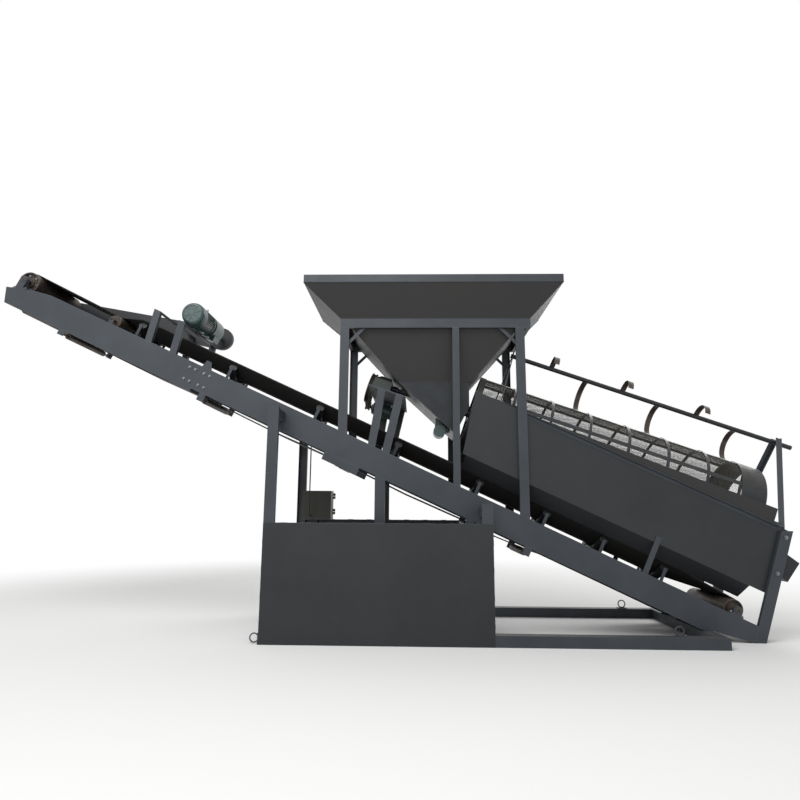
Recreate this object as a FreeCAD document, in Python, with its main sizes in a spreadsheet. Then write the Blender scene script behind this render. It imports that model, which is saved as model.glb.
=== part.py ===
"""Skid-mounted sand screening machine: hopper, trommel screen and inclined belt conveyor.

Millimetres. +X runs from the conveyor's head to its tail, -Y is the operator's side, +Z is up.
The origin is on the ground under the middle of the machine's length and width.
"""
import FreeCAD, Part
import math
import os
import Sketcher

doc = FreeCAD.newDocument("sand_screening_machine")
Vector = FreeCAD.Vector

# Driving dimensions: alias, value in mm or degrees, what it is.
SIZES = [
    ("overall_length", 8250, "conveyor head to the end of the cleaner pipe"),
    ("skid_rear", -1215, "x of the skid's rear end"),
    ("skid_length", 4150, "length of the skid"),
    ("skid_width", 1622, "over the rails"),
    ("rail_size", 100, "square tube of the skid"),
    ("rail_wall", 5, "wall of the skid tube"),
    ("panel_length", 2104, "side panel, along the skid"),
    ("panel_top", 1062, "height of the side panel's top edge"),
    ("panel_sheet", 4, "side panel sheet"),
    ("angle_size", 50, "angle iron leg"),
    ("angle_wall", 5, "angle iron thickness"),
    ("post_width", 100, "corner post, along x"),
    ("post_depth", 50, "corner post, along y"),
    ("post_wall", 5, "corner post wall"),
    ("tall_post_top", 2145, "top of the rear posts"),
    ("short_post_top", 1243, "top of the front posts"),
    ("mid_post_x", -166, "middle of the post under the conveyor"),
    ("cross_beam_size", 90, "stub beams from the posts to the conveyor"),
    ("stub_drop", 75, "stub beam below the conveyor beam's top edge"),
    ("ring_bar", 12, "lifting ring bar diameter"),
    ("ring_radius", 38, "lifting ring, to the middle of the bar"),
    ("ring_station", 420, "front lifting ring behind the skid's front end"),
    ("pad_wall", 8, "pads under the lifting rings"),
    ("box_length", 325, "control box, along x"),
    ("box_width", 210, "control box, along y"),
    ("box_height", 320, "control box height"),
    ("box_inset", 20, "control box inside the skid's edge"),
    ("box_top", 1388, "top of the control box"),
    ("door_sheet", 18, "control box door thickness"),
    ("door_gap", 5, "door to box"),
    ("hinge_reach", 14, "hinge axis in front of the box"),
    ("hinge_barrel", 8, "hinge barrel radius"),
    ("hinge_pin", 4, "hinge pin radius"),
    ("hinge_length", 30, "hinge barrel length"),
    ("cable_station", 96, "supply cable in front of the box's rear, along x"),
    ("supply_radius", 7, "supply cable"),
    ("cable_bend", 55, "bend of the supply cable"),
    ("cable_entry", 40, "cable's entry above the box's floor"),
    ("conveyor_height", 1691, "height of the beam's top edge at x = 0"),
    ("conveyor_slope", 24.71, "slope of the conveyor, degrees"),
    ("beam_offset", 500, "centre plane to the outer face of a beam"),
    ("beam_height", 250, "main conveyor beam"),
    ("head_beam_height", 282, "head section beam"),
    ("beam_flange", 75, "beam flange width"),
    ("beam_web", 6, "beam web"),
    ("beam_flange_wall", 8, "beam flange thickness"),
    ("head_toe", 270, "head beam's lower end corner below the beams' top"),
    ("splice", -2185, "joint between head and main beams"),
    ("end_post_x", 3352, "foot of the end post, x"),
    ("toe_length", 359, "beams' pointed foot from the skid's end to the end post"),
    ("end_post_width", 106, "end post along x"),
    ("end_post_height", 1010, "height of the end post"),
    ("splice_length", 300, "splice plate length"),
    ("plate_wall", 8, "splice and lug plate"),
    ("tie_size", 60, "cross tie between the beams"),
    ("belt_width", 650, "flat width of the belt"),
    ("belt_thick", 10, "belt thickness"),
    ("belt_floor", 62, "underside of the belt above the beams"),
    ("trough_half", 110, "half of the flat middle of the troughed belt"),
    ("trough_reach", 302, "centre plane to the belt's edge"),
    ("wing_angle", 33.7, "slope of the belt's wings, degrees"),
    ("return_depth", 272, "return run below the beams' top, on its rollers"),
    ("return_roll_radius", 30, "return roller"),
    ("return_sag", 14, "sag of the return run between its rollers"),
    ("head_drum_radius", 112, "head drum"),
    ("head_drum_setback", 118.5, "head drum behind the head beams' end"),
    ("head_drum_n", 36, "head drum axis above the beams' top"),
    ("drum_half", 400, "half length of the head drum"),
    ("tail_drum_radius", 92, "tail drum"),
    ("tail_drum_s", 3478, "tail drum along the conveyor"),
    ("tail_drum_n", 50, "tail drum axis above the beams' top"),
    ("bearing_half", 62, "half length of the conveyor's bearings"),
    ("conveyor_shaft", 25, "radius of the conveyor's shafts"),
    ("roll_radius", 40, "idler roll"),
    ("idler_bar", 40, "idler upright bar"),
    ("bend_roll_s", -3302, "flat roll near the head"),
    ("bend_roll_n", 46, "flat roll axis above the beams' top"),
    ("bend_roll_radius", 63, "flat roll"),
    ("motor_radius", 122, "belt drive motor"),
    ("motor_s", -2568, "belt drive motor along the conveyor"),
    ("motor_n", 457, "belt drive motor axis above the beams' top"),
    ("drive_leg_width", 72, "belt drive stand leg"),
    ("drive_leg_height", 320, "belt drive stand leg above the beam"),
    ("drive_leg_lean", 70, "belt drive stand leg top, set back"),
    ("column_width", 90, "hopper column along x"),
    ("column_depth", 40, "hopper column along y"),
    ("column_wall", 5, "hopper column wall"),
    ("ring_rear", -590, "hopper ring beam, rear end"),
    ("ring_front", 1346, "hopper ring beam, front end"),
    ("ring_top", 3112, "top of the hopper ring beam"),
    ("ring_height", 100, "height of the hopper ring beam"),
    ("rim_rear", -958, "hopper rim, rear end"),
    ("rim_front", 1664, "hopper rim, front end"),
    ("rim_half", 640, "half width of the hopper rim"),
    ("rim_top", 3529, "top of the hopper rim"),
    ("rim_height", 82, "hopper rim band"),
    ("hopper_sheet", 6, "hopper plate, measured level"),
    ("outlet_rear", 2, "funnel outlet, rear edge"),
    ("outlet_front", 762, "funnel outlet, front edge"),
    ("outlet_half", 300, "half width of the funnel outlet"),
    ("outlet_z", 2490, "height of the funnel outlet"),
    ("chute_lip_x", 590, "lower lip of the feed chute"),
    ("chute_lip_z", 1942, "height of the lower lip"),
    ("chute_front_z", 2226, "lower front corner of the chute's cheek"),
    ("screen_x", 745, "axis of the screen at its mouth, x"),
    ("screen_z", 2188, "axis of the screen at its mouth, z"),
    ("screen_slope", 18.95, "slope of the screen, degrees"),
    ("screen_length", 2970, "screen drum"),
    ("screen_radius", 428, "screen drum over its hoops"),
    ("hoop_wall", 10, "hoop thickness"),
    ("hoop_width", 30, "hoop width"),
    ("hoop_pitch", 400, "hoop spacing"),
    ("mouth_band", 60, "mouth band width"),
    ("end_band", 240, "plain sheet band at the outlet end"),
    ("mesh_wall", 4, "screen mesh"),
    ("screen_shaft", 25, "radius of the screen's shaft"),
    ("running_gap", 0.05, "shaft in its bearing, radial"),
    ("mesh_gap", 0.4, "between the screen's curved mesh panels"),
    ("seat_gap", 0.3, "curved faces that seat on each other"),
    ("housing_low", 310, "housing plate's bottom edge above the beams"),
    ("housing_high", 942, "housing plate's top edge above the beams"),
    ("housing_sheet", 4, "housing plate"),
    ("housing_rear_low", 571, "rear lower corner along the conveyor"),
    ("housing_rear_high", 433, "rear upper corner along the conveyor"),
    ("housing_front", 3700, "front end along the conveyor"),
    ("skirt_drop", 130, "skirt below the housing plate"),
    ("skirt_inset", 130, "skirt's lower edge, inwards"),
    ("filler_rise", 156, "filler strip above the plate at its front end"),
    ("pipe_radius", 24, "cleaner pipe"),
    ("pipe_lift", 345, "cleaner pipe above the drum"),
    ("strip_width", 55, "cleaner strip width"),
    ("strip_wall", 4, "cleaner strip thickness"),
    ("gear_length", 190, "gearbox along the shaft"),
    ("gear_width", 300, "gearbox across"),
    ("gear_height", 150, "gearbox height"),
    ("pulley_radius", 165, "gearbox pulley"),
    ("pulley_width", 50, "gearbox pulley width"),
    ("pulley_gap", 12, "gearbox to its pulley"),
    ("motor_pulley_radius", 50, "screen motor pulley"),
    ("screen_motor_radius", 80, "screen motor"),
    ("screen_motor_y", 362, "screen motor axis, towards the far side"),
    ("motor_foot", 88, "screen motor axis to its feet"),
    ("moving_gap", 6, "moving pieces to their neighbours"),
    ("deck_length", 395, "plate under the gearbox, along the screen"),
    ("deck_wall", 12, "plate under the gearbox"),
    ("vibrator_radius", 62, "hopper vibrator"),
    ("cable_radius", 6, "held cables"),
]


class Size:
    """A size with its value now and the sheet formula that gives it."""

    def __init__(self, value, formula):
        self.value = float(value)
        self.formula = formula

    def __add__(self, other):
        other = as_size(other)
        return Size(self.value + other.value, f"({self.formula} + {other.formula})")

    def __radd__(self, other):
        return as_size(other) + self

    def __sub__(self, other):
        other = as_size(other)
        return Size(self.value - other.value, f"({self.formula} - {other.formula})")

    def __rsub__(self, other):
        return as_size(other) - self

    def __mul__(self, other):
        other = as_size(other)
        return Size(self.value * other.value, f"({self.formula} * {other.formula})")

    def __rmul__(self, other):
        return as_size(other) * self

    def __truediv__(self, other):
        other = as_size(other)
        return Size(self.value / other.value, f"({self.formula} / {other.formula})")

    def __neg__(self):
        return Size(-self.value, f"(0 - {self.formula})")


def as_size(value):
    """Turn a plain number into a Size."""
    if isinstance(value, Size):
        return value
    return Size(value, f"({float(value):.6f})")


def sin_of(angle):
    """Sine of an angle in degrees."""
    return Size(math.sin(math.radians(angle.value)), f"sin({angle.formula})")


def cos_of(angle):
    """Cosine of an angle in degrees."""
    return Size(math.cos(math.radians(angle.value)), f"cos({angle.formula})")


sheet = doc.addObject("Spreadsheet::Sheet", "Sizes")


class Sheet:
    """The driving dimensions as attributes."""


S = Sheet()
for row, (alias, value, note) in enumerate(SIZES, start=1):
    sheet.set(f"A{row}", alias)
    sheet.set(f"B{row}", str(value))
    sheet.set(f"C{row}", note)
    sheet.setAlias(f"B{row}", alias)
    setattr(S, alias, Size(value, f"Sizes.{alias}"))
doc.recompute()


# Building blocks

ROTATIONS = {
    "X": FreeCAD.Rotation(Vector(0, 1, 0), 90),
    "Y": FreeCAD.Rotation(Vector(1, 0, 0), -90),
    "Z": FreeCAD.Rotation(),
}


def bind(thing, prop, size):
    """Tie one property of a piece to the sheet."""
    size = as_size(size)
    thing.setExpression(prop, size.formula)


def set_place(thing, corner, rotation=None):
    """Put a piece at a place that follows the sheet."""
    x, y, z = (as_size(part) for part in corner)
    turn = rotation if rotation else FreeCAD.Rotation()
    thing.Placement = FreeCAD.Placement(Vector(x.value, y.value, z.value), turn)
    bind(thing, "Placement.Base.x", x)
    bind(thing, "Placement.Base.y", y)
    bind(thing, "Placement.Base.z", z)


def box(name, corner, lengths):
    """A block from its low corner and its three lengths."""
    piece = doc.addObject("Part::Box", name)
    for prop, size in zip(("Length", "Width", "Height"), lengths):
        setattr(piece, prop, as_size(size).value)
        bind(piece, prop, size)
    set_place(piece, corner)
    return piece


def centred_box(name, middle, lengths):
    """A block from its centre and its three lengths."""
    corner = [as_size(at) - as_size(length) / 2 for at, length in zip(middle, lengths)]
    return box(name, corner, lengths)


def cylinder(name, start, radius, length, axis):
    """A round bar from the middle of its first face, along +X, +Y or +Z."""
    piece = doc.addObject("Part::Cylinder", name)
    piece.Radius = as_size(radius).value
    piece.Height = as_size(length).value
    bind(piece, "Radius", radius)
    bind(piece, "Height", length)
    set_place(piece, start, ROTATIONS[axis])
    return piece


def shift(start, axis, distance):
    """Move a point along one axis."""
    moved = list(start)
    index = "XYZ".index(axis)
    moved[index] = as_size(moved[index]) + distance
    return moved


def cut(name, base, tool):
    """Take one piece out of another."""
    piece = doc.addObject("Part::Cut", name)
    piece.Base = base
    piece.Tool = tool
    return piece


def fuse(name, pieces):
    """Weld pieces into one solid."""
    piece = doc.addObject("Part::MultiFuse", name)
    piece.Shapes = pieces
    piece.Refine = True
    return piece


def tube(name, start, outer, inner, length, axis):
    """A round tube or ring."""
    over = as_size(1)
    full = cylinder(name + "_full", start, outer, length, axis)
    bore = cylinder(name + "_bore", shift(start, axis, -over), inner, as_size(length) + 2 * over, axis)
    return cut(name, full, bore)


def square_tube(name, corner, lengths, axis, wall):
    """A square tube, open at both ends."""
    over = as_size(1)
    full = box(name + "_full", corner, lengths)
    inner_corner = []
    inner_lengths = []
    for letter, low, length in zip("XYZ", corner, lengths):
        grow = -over if letter == axis else as_size(wall)
        inner_corner.append(as_size(low) + grow)
        inner_lengths.append(as_size(length) - 2 * grow)
    return cut(name, full, box(name + "_bore", inner_corner, inner_lengths))


def mirror(piece):
    """The same piece on the far side."""
    twin = doc.addObject("Part::Mirroring", piece.Name + "_twin")
    twin.Source = piece
    twin.Base = Vector(0, 0, 0)
    twin.Normal = Vector(0, 1, 0)
    return twin


def pair(pieces):
    """Near pieces with their twins on the far side."""
    return pieces + [mirror(piece) for piece in pieces]


def sketch_outline(body, name, plane, points, offset):
    """A closed sketch on one of the body's own planes, its corners tied to the sheet."""
    origin = [item for item in body.Origin.OriginFeatures if item.Role == plane][0]
    sketch = body.newObject("Sketcher::SketchObject", name)
    sketch.AttachmentSupport = (origin, [""])
    sketch.MapMode = "FlatFace"
    offset = as_size(offset)
    sketch.AttachmentOffset = FreeCAD.Placement(Vector(0, 0, offset.value), FreeCAD.Rotation())
    bind(sketch, "AttachmentOffset.Base.z", offset)
    corners = [(as_size(u), as_size(v)) for u, v in points]
    count = len(corners)
    for index in range(count):
        u, v = corners[index]
        next_u, next_v = corners[(index + 1) % count]
        start = Vector(u.value, v.value, 0)
        end = Vector(next_u.value, next_v.value, 0)
        sketch.addGeometry(Part.LineSegment(start, end), False)
    for index in range(count):
        sketch.addConstraint(Sketcher.Constraint("Coincident", index, 2, (index + 1) % count, 1))
    for index, (u, v) in enumerate(corners):
        for kind, size in (("DistanceX", u), ("DistanceY", v)):
            rule = sketch.addConstraint(Sketcher.Constraint(kind, -1, 1, index, 1, size.value))
            label = f"{kind}{index}"
            sketch.renameConstraint(rule, label)
            bind(sketch, f"Constraints.{label}", size)
    return sketch


def add_pad(body, name, sketch, length):
    """Pad a sketch along its normal."""
    pad = body.newObject("PartDesign::Pad", name)
    pad.Profile = sketch
    pad.Length = as_size(length).value
    bind(pad, "Length", length)
    return pad


def outline_plate(name, plane, points, offset, length):
    """A plate with the given outline: on XZ_Plane it lies from y = -offset outwards."""
    body = doc.addObject("PartDesign::Body", name)
    sketch = sketch_outline(body, name + "_outline", plane, points, offset)
    add_pad(body, name + "_pad", sketch, length)
    return body


def channel(name, outline, hollow, offset, depth, web):
    """A channel with its web outwards and its hollow side towards the centre plane."""
    body = outline_plate(name, "XZ_Plane", outline, offset, depth)
    sketch = sketch_outline(body, name + "_hollow", "XZ_Plane", hollow, offset)
    pocket = body.newObject("PartDesign::Pocket", name + "_pocket")
    pocket.Profile = sketch
    pocket.Length = (as_size(depth) - web).value
    pocket.Reversed = True
    bind(pocket, "Length", as_size(depth) - web)
    return body


def loft_piece(name, plane, sections):
    """A straight-sided piece between outlines at several offsets."""
    body = doc.addObject("PartDesign::Body", name)
    sketches = []
    for number, (offset, points) in enumerate(sections, start=1):
        sketches.append(sketch_outline(body, f"{name}_section{number}", plane, points, offset))
    loft = body.newObject("PartDesign::AdditiveLoft", name + "_loft")
    loft.Profile = sketches[0]
    loft.Sections = sketches[1:]
    loft.Ruled = True
    return body


def drawn(name, shape):
    """A piece whose shape is worked out here from the sheet's sizes."""
    piece = doc.addObject("Part::Feature", name)
    piece.Shape = shape
    return piece


NODES = []


def node(label, pieces, frame=None):
    """Gather the solids of one sub-part under its own name."""
    group = doc.addObject("Part::Compound", "node_" + label)
    group.Links = pieces
    group.Label = label
    if frame:
        set_place(group, frame["origin"], FreeCAD.Rotation(Vector(0, 1, 0), frame["slope"].value))
        bind(group, "Placement.Rotation.Angle", frame["slope"])
    NODES.append(group)
    return group


CONVEYOR = {"origin": (0, 0, S.conveyor_height), "slope": S.conveyor_slope}
SCREEN = {"origin": (S.screen_x, 0, S.screen_z), "slope": S.screen_slope}
CONVEYOR_SIN = sin_of(S.conveyor_slope)
CONVEYOR_COS = cos_of(S.conveyor_slope)
SCREEN_SIN = sin_of(S.screen_slope)
SCREEN_COS = cos_of(S.screen_slope)


def beam_top(x):
    """Height of the conveyor beam's top edge at x."""
    return S.conveyor_height - as_size(x) * CONVEYOR_SIN / CONVEYOR_COS


def on_conveyor(x, z):
    """A point of the side view in the conveyor's own frame: along it and above it."""
    rise = as_size(z) - S.conveyor_height
    along = as_size(x) * CONVEYOR_COS - rise * CONVEYOR_SIN
    above = as_size(x) * CONVEYOR_SIN + rise * CONVEYOR_COS
    return along, above


def on_screen(x, z):
    """A point of the side view in the screen's own frame: along its axis and above it."""
    dx = as_size(x) - S.screen_x
    dz = as_size(z) - S.screen_z
    return dx * SCREEN_COS - dz * SCREEN_SIN, dx * SCREEN_SIN + dz * SCREEN_COS


def from_screen(along, above):
    """A point of the screen's own frame in the side view."""
    x = S.screen_x + as_size(along) * SCREEN_COS + as_size(above) * SCREEN_SIN
    z = S.screen_z - as_size(along) * SCREEN_SIN + as_size(above) * SCREEN_COS
    return x, z


def bar_outline(low, high, width):
    """Outline of a straight flat bar between two points of a side view, cut level at both ends."""
    half = as_size(width) / 2
    return [(low[0] - half, low[1]), (low[0] + half, low[1]), (high[0] + half, high[1]), (high[0] - half, high[1])]


# Skid

skid_front = S.skid_rear + S.skid_length
half_skid = S.skid_width / 2
panel_front = S.skid_rear + S.panel_length

near_rail = square_tube(
    "rail_near",
    (S.skid_rear, -half_skid, 0),
    (S.skid_length, S.rail_size, S.rail_size),
    "X",
    S.rail_wall,
)
node("skid_rails", pair([near_rail]))

# Cross members of the skid: name, x of the rear face.
CROSS_MEMBERS = [
    ("rear", S.skid_rear),
    ("middle", S.mid_post_x - S.rail_size / 2),
    ("panel", panel_front - S.rail_size),
    ("front", skid_front - S.rail_size),
]
member_span = S.skid_width - 2 * S.rail_size
node(
    "skid_cross_members",
    [
        square_tube(
            "member_" + name,
            (x, -member_span / 2, 0),
            (S.rail_size, member_span, S.rail_size),
            "Y",
            S.rail_wall,
        )
        for name, x in CROSS_MEMBERS
    ],
)

panel_y = half_skid + S.panel_sheet
near_panel = box("panel_near", (S.skid_rear, -panel_y, 0), (S.panel_length, S.panel_sheet, S.panel_top))
node("side_panels", pair([near_panel]))

# Angle iron along the top edge of each panel, between the posts.
top_angle = outline_plate(
    "top_angle",
    "YZ_Plane",
    [
        (-half_skid, S.panel_top),
        (-half_skid, S.panel_top - S.angle_size),
        (-half_skid + S.angle_wall, S.panel_top - S.angle_size),
        (-half_skid + S.angle_wall, S.panel_top - S.angle_wall),
        (-half_skid + S.angle_size, S.panel_top - S.angle_wall),
        (-half_skid + S.angle_size, S.panel_top),
    ],
    S.skid_rear + S.post_width,
    S.panel_length - 2 * S.post_width,
)
node("panel_top_rails", pair([top_angle]))


def post(name, rear, low, high):
    """A corner post: a channel with its web outwards."""
    front = rear + S.post_width
    outline = [(rear, low), (front, low), (front, high), (rear, high)]
    hollow = [
        (rear + S.post_wall, low - 1),
        (front - S.post_wall, low - 1),
        (front - S.post_wall, high + 1),
        (rear + S.post_wall, high + 1),
    ]
    return channel(name, outline, hollow, half_skid - S.post_depth, S.post_depth, S.post_wall)


rear_post = post("rear_post", S.skid_rear, S.rail_size, S.tall_post_top)
front_post = post("front_post", panel_front - S.post_width, S.rail_size, S.short_post_top)
node("corner_posts", pair([rear_post, front_post]))

# Stub beams that carry the conveyor from the posts: name, rear face.
rear_beam_x = S.skid_rear + S.post_width / 2 - S.cross_beam_size / 2
front_beam_x = panel_front - S.post_width / 2 - S.cross_beam_size / 2
span = S.skid_width - 2 * S.post_depth


def under_beam(x):
    """Height of the conveyor beam's underside at x."""
    return beam_top(x) - S.beam_height / CONVEYOR_COS


def stub_top(x):
    """Top of the stub beam at x, inside the height of the conveyor beam's web."""
    return beam_top(x + S.cross_beam_size) - S.stub_drop


CROSS_BEAMS = [("rear", rear_beam_x), ("front", front_beam_x)]
cross_beams = []
for name, x in CROSS_BEAMS:
    top = stub_top(x)
    corner = (x, -half_skid + S.post_wall, top - S.cross_beam_size)
    lengths = (S.cross_beam_size, half_skid - S.post_wall - S.beam_offset, S.cross_beam_size)
    cross_beams.append(square_tube("cross_beam_" + name, corner, lengths, "Y", S.post_wall))
node("post_cross_beams", pair(cross_beams))

# Posts under the middle of the conveyor, cut to its slope.
mid_rear = S.mid_post_x - S.post_width / 2
mid_front = S.mid_post_x + S.post_width / 2
mid_post = channel(
    "mid_post",
    [(mid_rear, S.rail_size), (mid_front, S.rail_size), (mid_front, under_beam(mid_front)),
     (mid_rear, under_beam(mid_rear))],
    [(mid_rear + S.post_wall, S.rail_size - 1), (mid_front - S.post_wall, S.rail_size - 1),
     (mid_front - S.post_wall, under_beam(mid_front) + 50), (mid_rear + S.post_wall, under_beam(mid_rear) + 50)],
    S.beam_offset - S.post_depth,
    S.post_depth,
    S.post_wall,
)
node("middle_posts", pair([mid_post]))

# Gussets between the rear posts and their cross beam, and the lugs that hold the beams.
gusset_top = stub_top(rear_beam_x)
gusset = outline_plate(
    "post_gusset",
    "YZ_Plane",
    [
        (-span / 2, gusset_top - S.cross_beam_size),
        (-span / 2, gusset_top - S.cross_beam_size - 110),
        (-span / 2 + 110, gusset_top - S.cross_beam_size),
    ],
    rear_beam_x + S.cross_beam_size / 2 - S.plate_wall / 2,
    S.plate_wall,
)
front_gusset_top = stub_top(front_beam_x)
front_gusset = outline_plate(
    "front_gusset",
    "YZ_Plane",
    [
        (-span / 2, front_gusset_top - S.cross_beam_size),
        (-span / 2, front_gusset_top - S.cross_beam_size - 110),
        (-span / 2 + 110, front_gusset_top - S.cross_beam_size),
    ],
    front_beam_x + S.cross_beam_size / 2 - S.plate_wall / 2,
    S.plate_wall,
)


def lifting_ring(name, middle, turn):
    """A round-bar ring standing on the rail."""
    piece = doc.addObject("Part::Torus", name)
    piece.Radius1 = S.ring_radius.value
    piece.Radius2 = (S.ring_bar / 2).value
    bind(piece, "Radius1", S.ring_radius)
    bind(piece, "Radius2", S.ring_bar / 2)
    set_place(piece, middle, turn)
    return piece


ring_reach = S.ring_radius + S.ring_bar / 2
flat_turn = FreeCAD.Rotation(Vector(1, 0, 0), 90)
ring_y = -half_skid + S.rail_size / 2
rear_pad = box(
    "rear_ring_pad",
    (S.skid_rear - S.pad_wall, ring_y - S.rail_size / 2, 0),
    (S.pad_wall, S.rail_size, S.rail_size),
)
rear_ring = lifting_ring(
    "rear_ring",
    (S.skid_rear - S.pad_wall / 2 - ring_reach, ring_y, S.rail_size / 2),
    flat_turn,
)
front_pad = box(
    "front_ring_pad",
    (skid_front - S.ring_station - S.rail_size / 2, ring_y - S.rail_size / 4, S.rail_size),
    (S.rail_size, S.rail_size / 2, S.pad_wall),
)
front_ring = lifting_ring(
    "front_ring",
    (skid_front - S.ring_station, ring_y, S.rail_size + S.pad_wall / 2 + ring_reach),
    flat_turn,
)
node(
    "lifting_rings",
    pair([fuse("rear_ring_weld", [rear_pad, rear_ring]), fuse("front_ring_weld", [front_pad, front_ring])]),
)

# Control box on the far rear corner, with its hinged door outwards

box_far = half_skid - S.box_inset
box_y = box_far - S.box_width
box_rear = S.skid_rear + S.post_width
box_front = box_rear + S.box_length
box_low = S.box_top - S.box_height
box_body = box("box_body", (box_rear, box_y, S.box_top - S.box_height), (S.box_length, S.box_width, S.box_height))
box_hollow = box(
    "box_hollow",
    (box_rear + 3, box_y + 3, S.box_top - S.box_height + 3),
    (S.box_length - 6, S.box_width, S.box_height - 6),
)
hinge_x = box_front + S.hinge_reach
hinge_y = box_far + S.door_gap + S.door_sheet / 2
leaf = box(
    "door_leaf",
    (box_rear + S.moving_gap, box_far + S.door_gap, box_low + S.moving_gap),
    (S.box_length - 2 * S.moving_gap, S.door_sheet, S.box_height - S.moving_gap),
)
# Door hinges: name, height above the box's bottom
HINGES = [("low", as_size(50)), ("high", S.box_height - 90)]
door_pieces = [leaf]
box_pieces = []
for name, rise in HINGES:
    low = box_low + rise
    high = low + S.hinge_length + S.moving_gap
    box_pieces.append(
        tube(
            "box_barrel_" + name,
            (hinge_x, hinge_y, low),
            S.hinge_barrel,
            S.hinge_pin + S.running_gap,
            S.hinge_length,
            "Z",
        )
    )
    box_lug = box(
        "box_lug_" + name,
        (box_front, box_far - 40, low),
        (S.hinge_reach - S.hinge_pin - 1, hinge_y - box_far + 40, S.hinge_length),
    )
    box_pieces.append(box_lug)
    door_pieces.append(cylinder("door_barrel_" + name, (hinge_x, hinge_y, high), S.hinge_barrel, S.hinge_length, "Z"))
    door_pieces.append(
        cylinder(
            "door_pin_" + name,
            (hinge_x, hinge_y, low + 2),
            S.hinge_pin,
            S.hinge_length + S.moving_gap,
            "Z",
        )
    )
    door_pieces.append(
        box(
            "door_lug_" + name,
            (box_front - S.moving_gap - 1, hinge_y - 4, high),
            (S.hinge_reach + S.moving_gap + 1, 8, S.hinge_length),
        )
    )
node("control_box", [fuse("box_weld", [cut("box_shell", box_body, box_hollow)] + box_pieces)])
node("control_box_door", [fuse("door_weld", door_pieces)])
shelf = box(
    "box_shelf",
    (box_rear, box_y, S.panel_top),
    (
        S.box_length,
        S.box_width,
        S.box_top - S.box_height - S.panel_top,
    ),
)
shelf_rib = box(
    "box_shelf_rib",
    (box_rear + S.box_length / 2, box_y, S.panel_top - S.angle_size),
    (S.angle_wall, S.box_width - S.angle_size, S.angle_size),
)
node("control_box_bracket", [fuse("box_bracket", [shelf, shelf_rib])])

# Supply cable from the far conveyor beam down to the control box
cable_x = box_rear + S.cable_station
cable_y = S.beam_offset - 30


def supply_cable():
    """Round cable: straight down, one bend, then level into the box."""
    x, y, bend = cable_x.value, cable_y.value, S.cable_bend.value
    face = box_y.value - 0.2
    low = box_low.value + S.cable_entry.value
    high = under_beam(cable_x + S.supply_radius).value - 0.2
    corner = bend * (1 - math.cos(math.radians(45)))
    drop = Part.LineSegment(Vector(x, y, high), Vector(x, y, low + bend)).toShape()
    turn = Part.Arc(
        Vector(x, y, low + bend), Vector(x, y + corner, low + corner), Vector(x, y + bend, low)
    ).toShape()
    run = Part.LineSegment(Vector(x, y + bend, low), Vector(x, face, low)).toShape()
    circle = Part.Circle(Vector(x, y, high), Vector(0, 0, -1), S.supply_radius.value)
    profile = Part.Wire([circle.toShape()])
    return Part.Wire([drop, turn, run]).makePipeShell([profile], True, True)


node("supply_cable", [drawn("supply_cable_sweep", supply_cable())])

# Conveyor beams

end_post_rear = S.end_post_x - S.end_post_width / 2
tail_rest_x = end_post_rear - S.toe_length
rest_s, rest_n = on_conveyor(tail_rest_x, S.rail_size)
touch_s = (S.conveyor_height - S.beam_height * CONVEYOR_COS - S.rail_size) / CONVEYOR_SIN
end_slope = SCREEN_SIN / SCREEN_COS
tail_x = (end_post_rear + S.conveyor_height * end_slope) / (1 + end_slope * CONVEYOR_SIN / CONVEYOR_COS)
tail_s, tail_n = on_conveyor(tail_x, beam_top(tail_x))
toe_s, toe_n = on_conveyor(end_post_rear, 0)
main_outline = [
    (S.splice, -S.beam_height),
    (touch_s, -S.beam_height),
    (rest_s, rest_n),
    (toe_s, toe_n),
    (tail_s, 0),
    (S.splice, 0),
]
main_hollow = [
    (S.splice - 5, -S.beam_height + S.beam_flange_wall),
    (touch_s - 15, -S.beam_height + S.beam_flange_wall),
    (rest_s - 10, rest_n + S.beam_flange_wall + 6),
    (toe_s - 20, toe_n + S.beam_flange_wall + 16),
    (tail_s - 12, -S.beam_flange_wall),
    (S.splice - 5, -S.beam_flange_wall),
]
flange_y = S.beam_offset - S.beam_flange
main_beam = channel("main_beam", main_outline, main_hollow, flange_y, S.beam_flange, S.beam_web)
node("conveyor_main_beams", pair([main_beam]), CONVEYOR)

head_end = (S.head_toe * CONVEYOR_SIN - S.overall_length / 2) / CONVEYOR_COS - 70
head_drum_s = head_end + S.head_drum_setback
seat_s = head_end + 280
seat_start = seat_s + 200
head_outline = [
    (head_end + 70, -S.head_toe),
    (S.splice, -S.head_beam_height),
    (S.splice, 0),
    (seat_start, 0),
    (seat_s, -33),
    (head_end, -113),
]
head_hollow = [
    (head_end + 60, -S.head_beam_height + 12 + S.beam_flange_wall),
    (S.splice + 5, -S.head_beam_height + S.beam_flange_wall),
    (S.splice + 5, -S.beam_flange_wall),
    (seat_start, -S.beam_flange_wall),
    (seat_s, -33 - S.beam_flange_wall),
    (head_end - 20, -113 - S.beam_flange_wall - 5),
]
head_beam = channel("head_beam", head_outline, head_hollow, flange_y, S.beam_flange, S.beam_web)
node("conveyor_head_beams", pair([head_beam]), CONVEYOR)

splice_plate = box(
    "splice_plate",
    (S.splice - S.splice_length / 2, -(S.beam_offset - S.beam_web), -S.beam_height + 30),
    (S.splice_length, S.plate_wall, S.beam_height - 60),
)
splice_lug = outline_plate(
    "splice_lug",
    "XZ_Plane",
    [(S.splice - 10, 0), (S.splice + 100, 0), (S.splice + 60, 75), (S.splice + 10, 75)],
    S.beam_offset - S.plate_wall - 10,
    S.plate_wall,
)
node("splice_plates", pair([splice_plate, splice_lug]), CONVEYOR)

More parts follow.
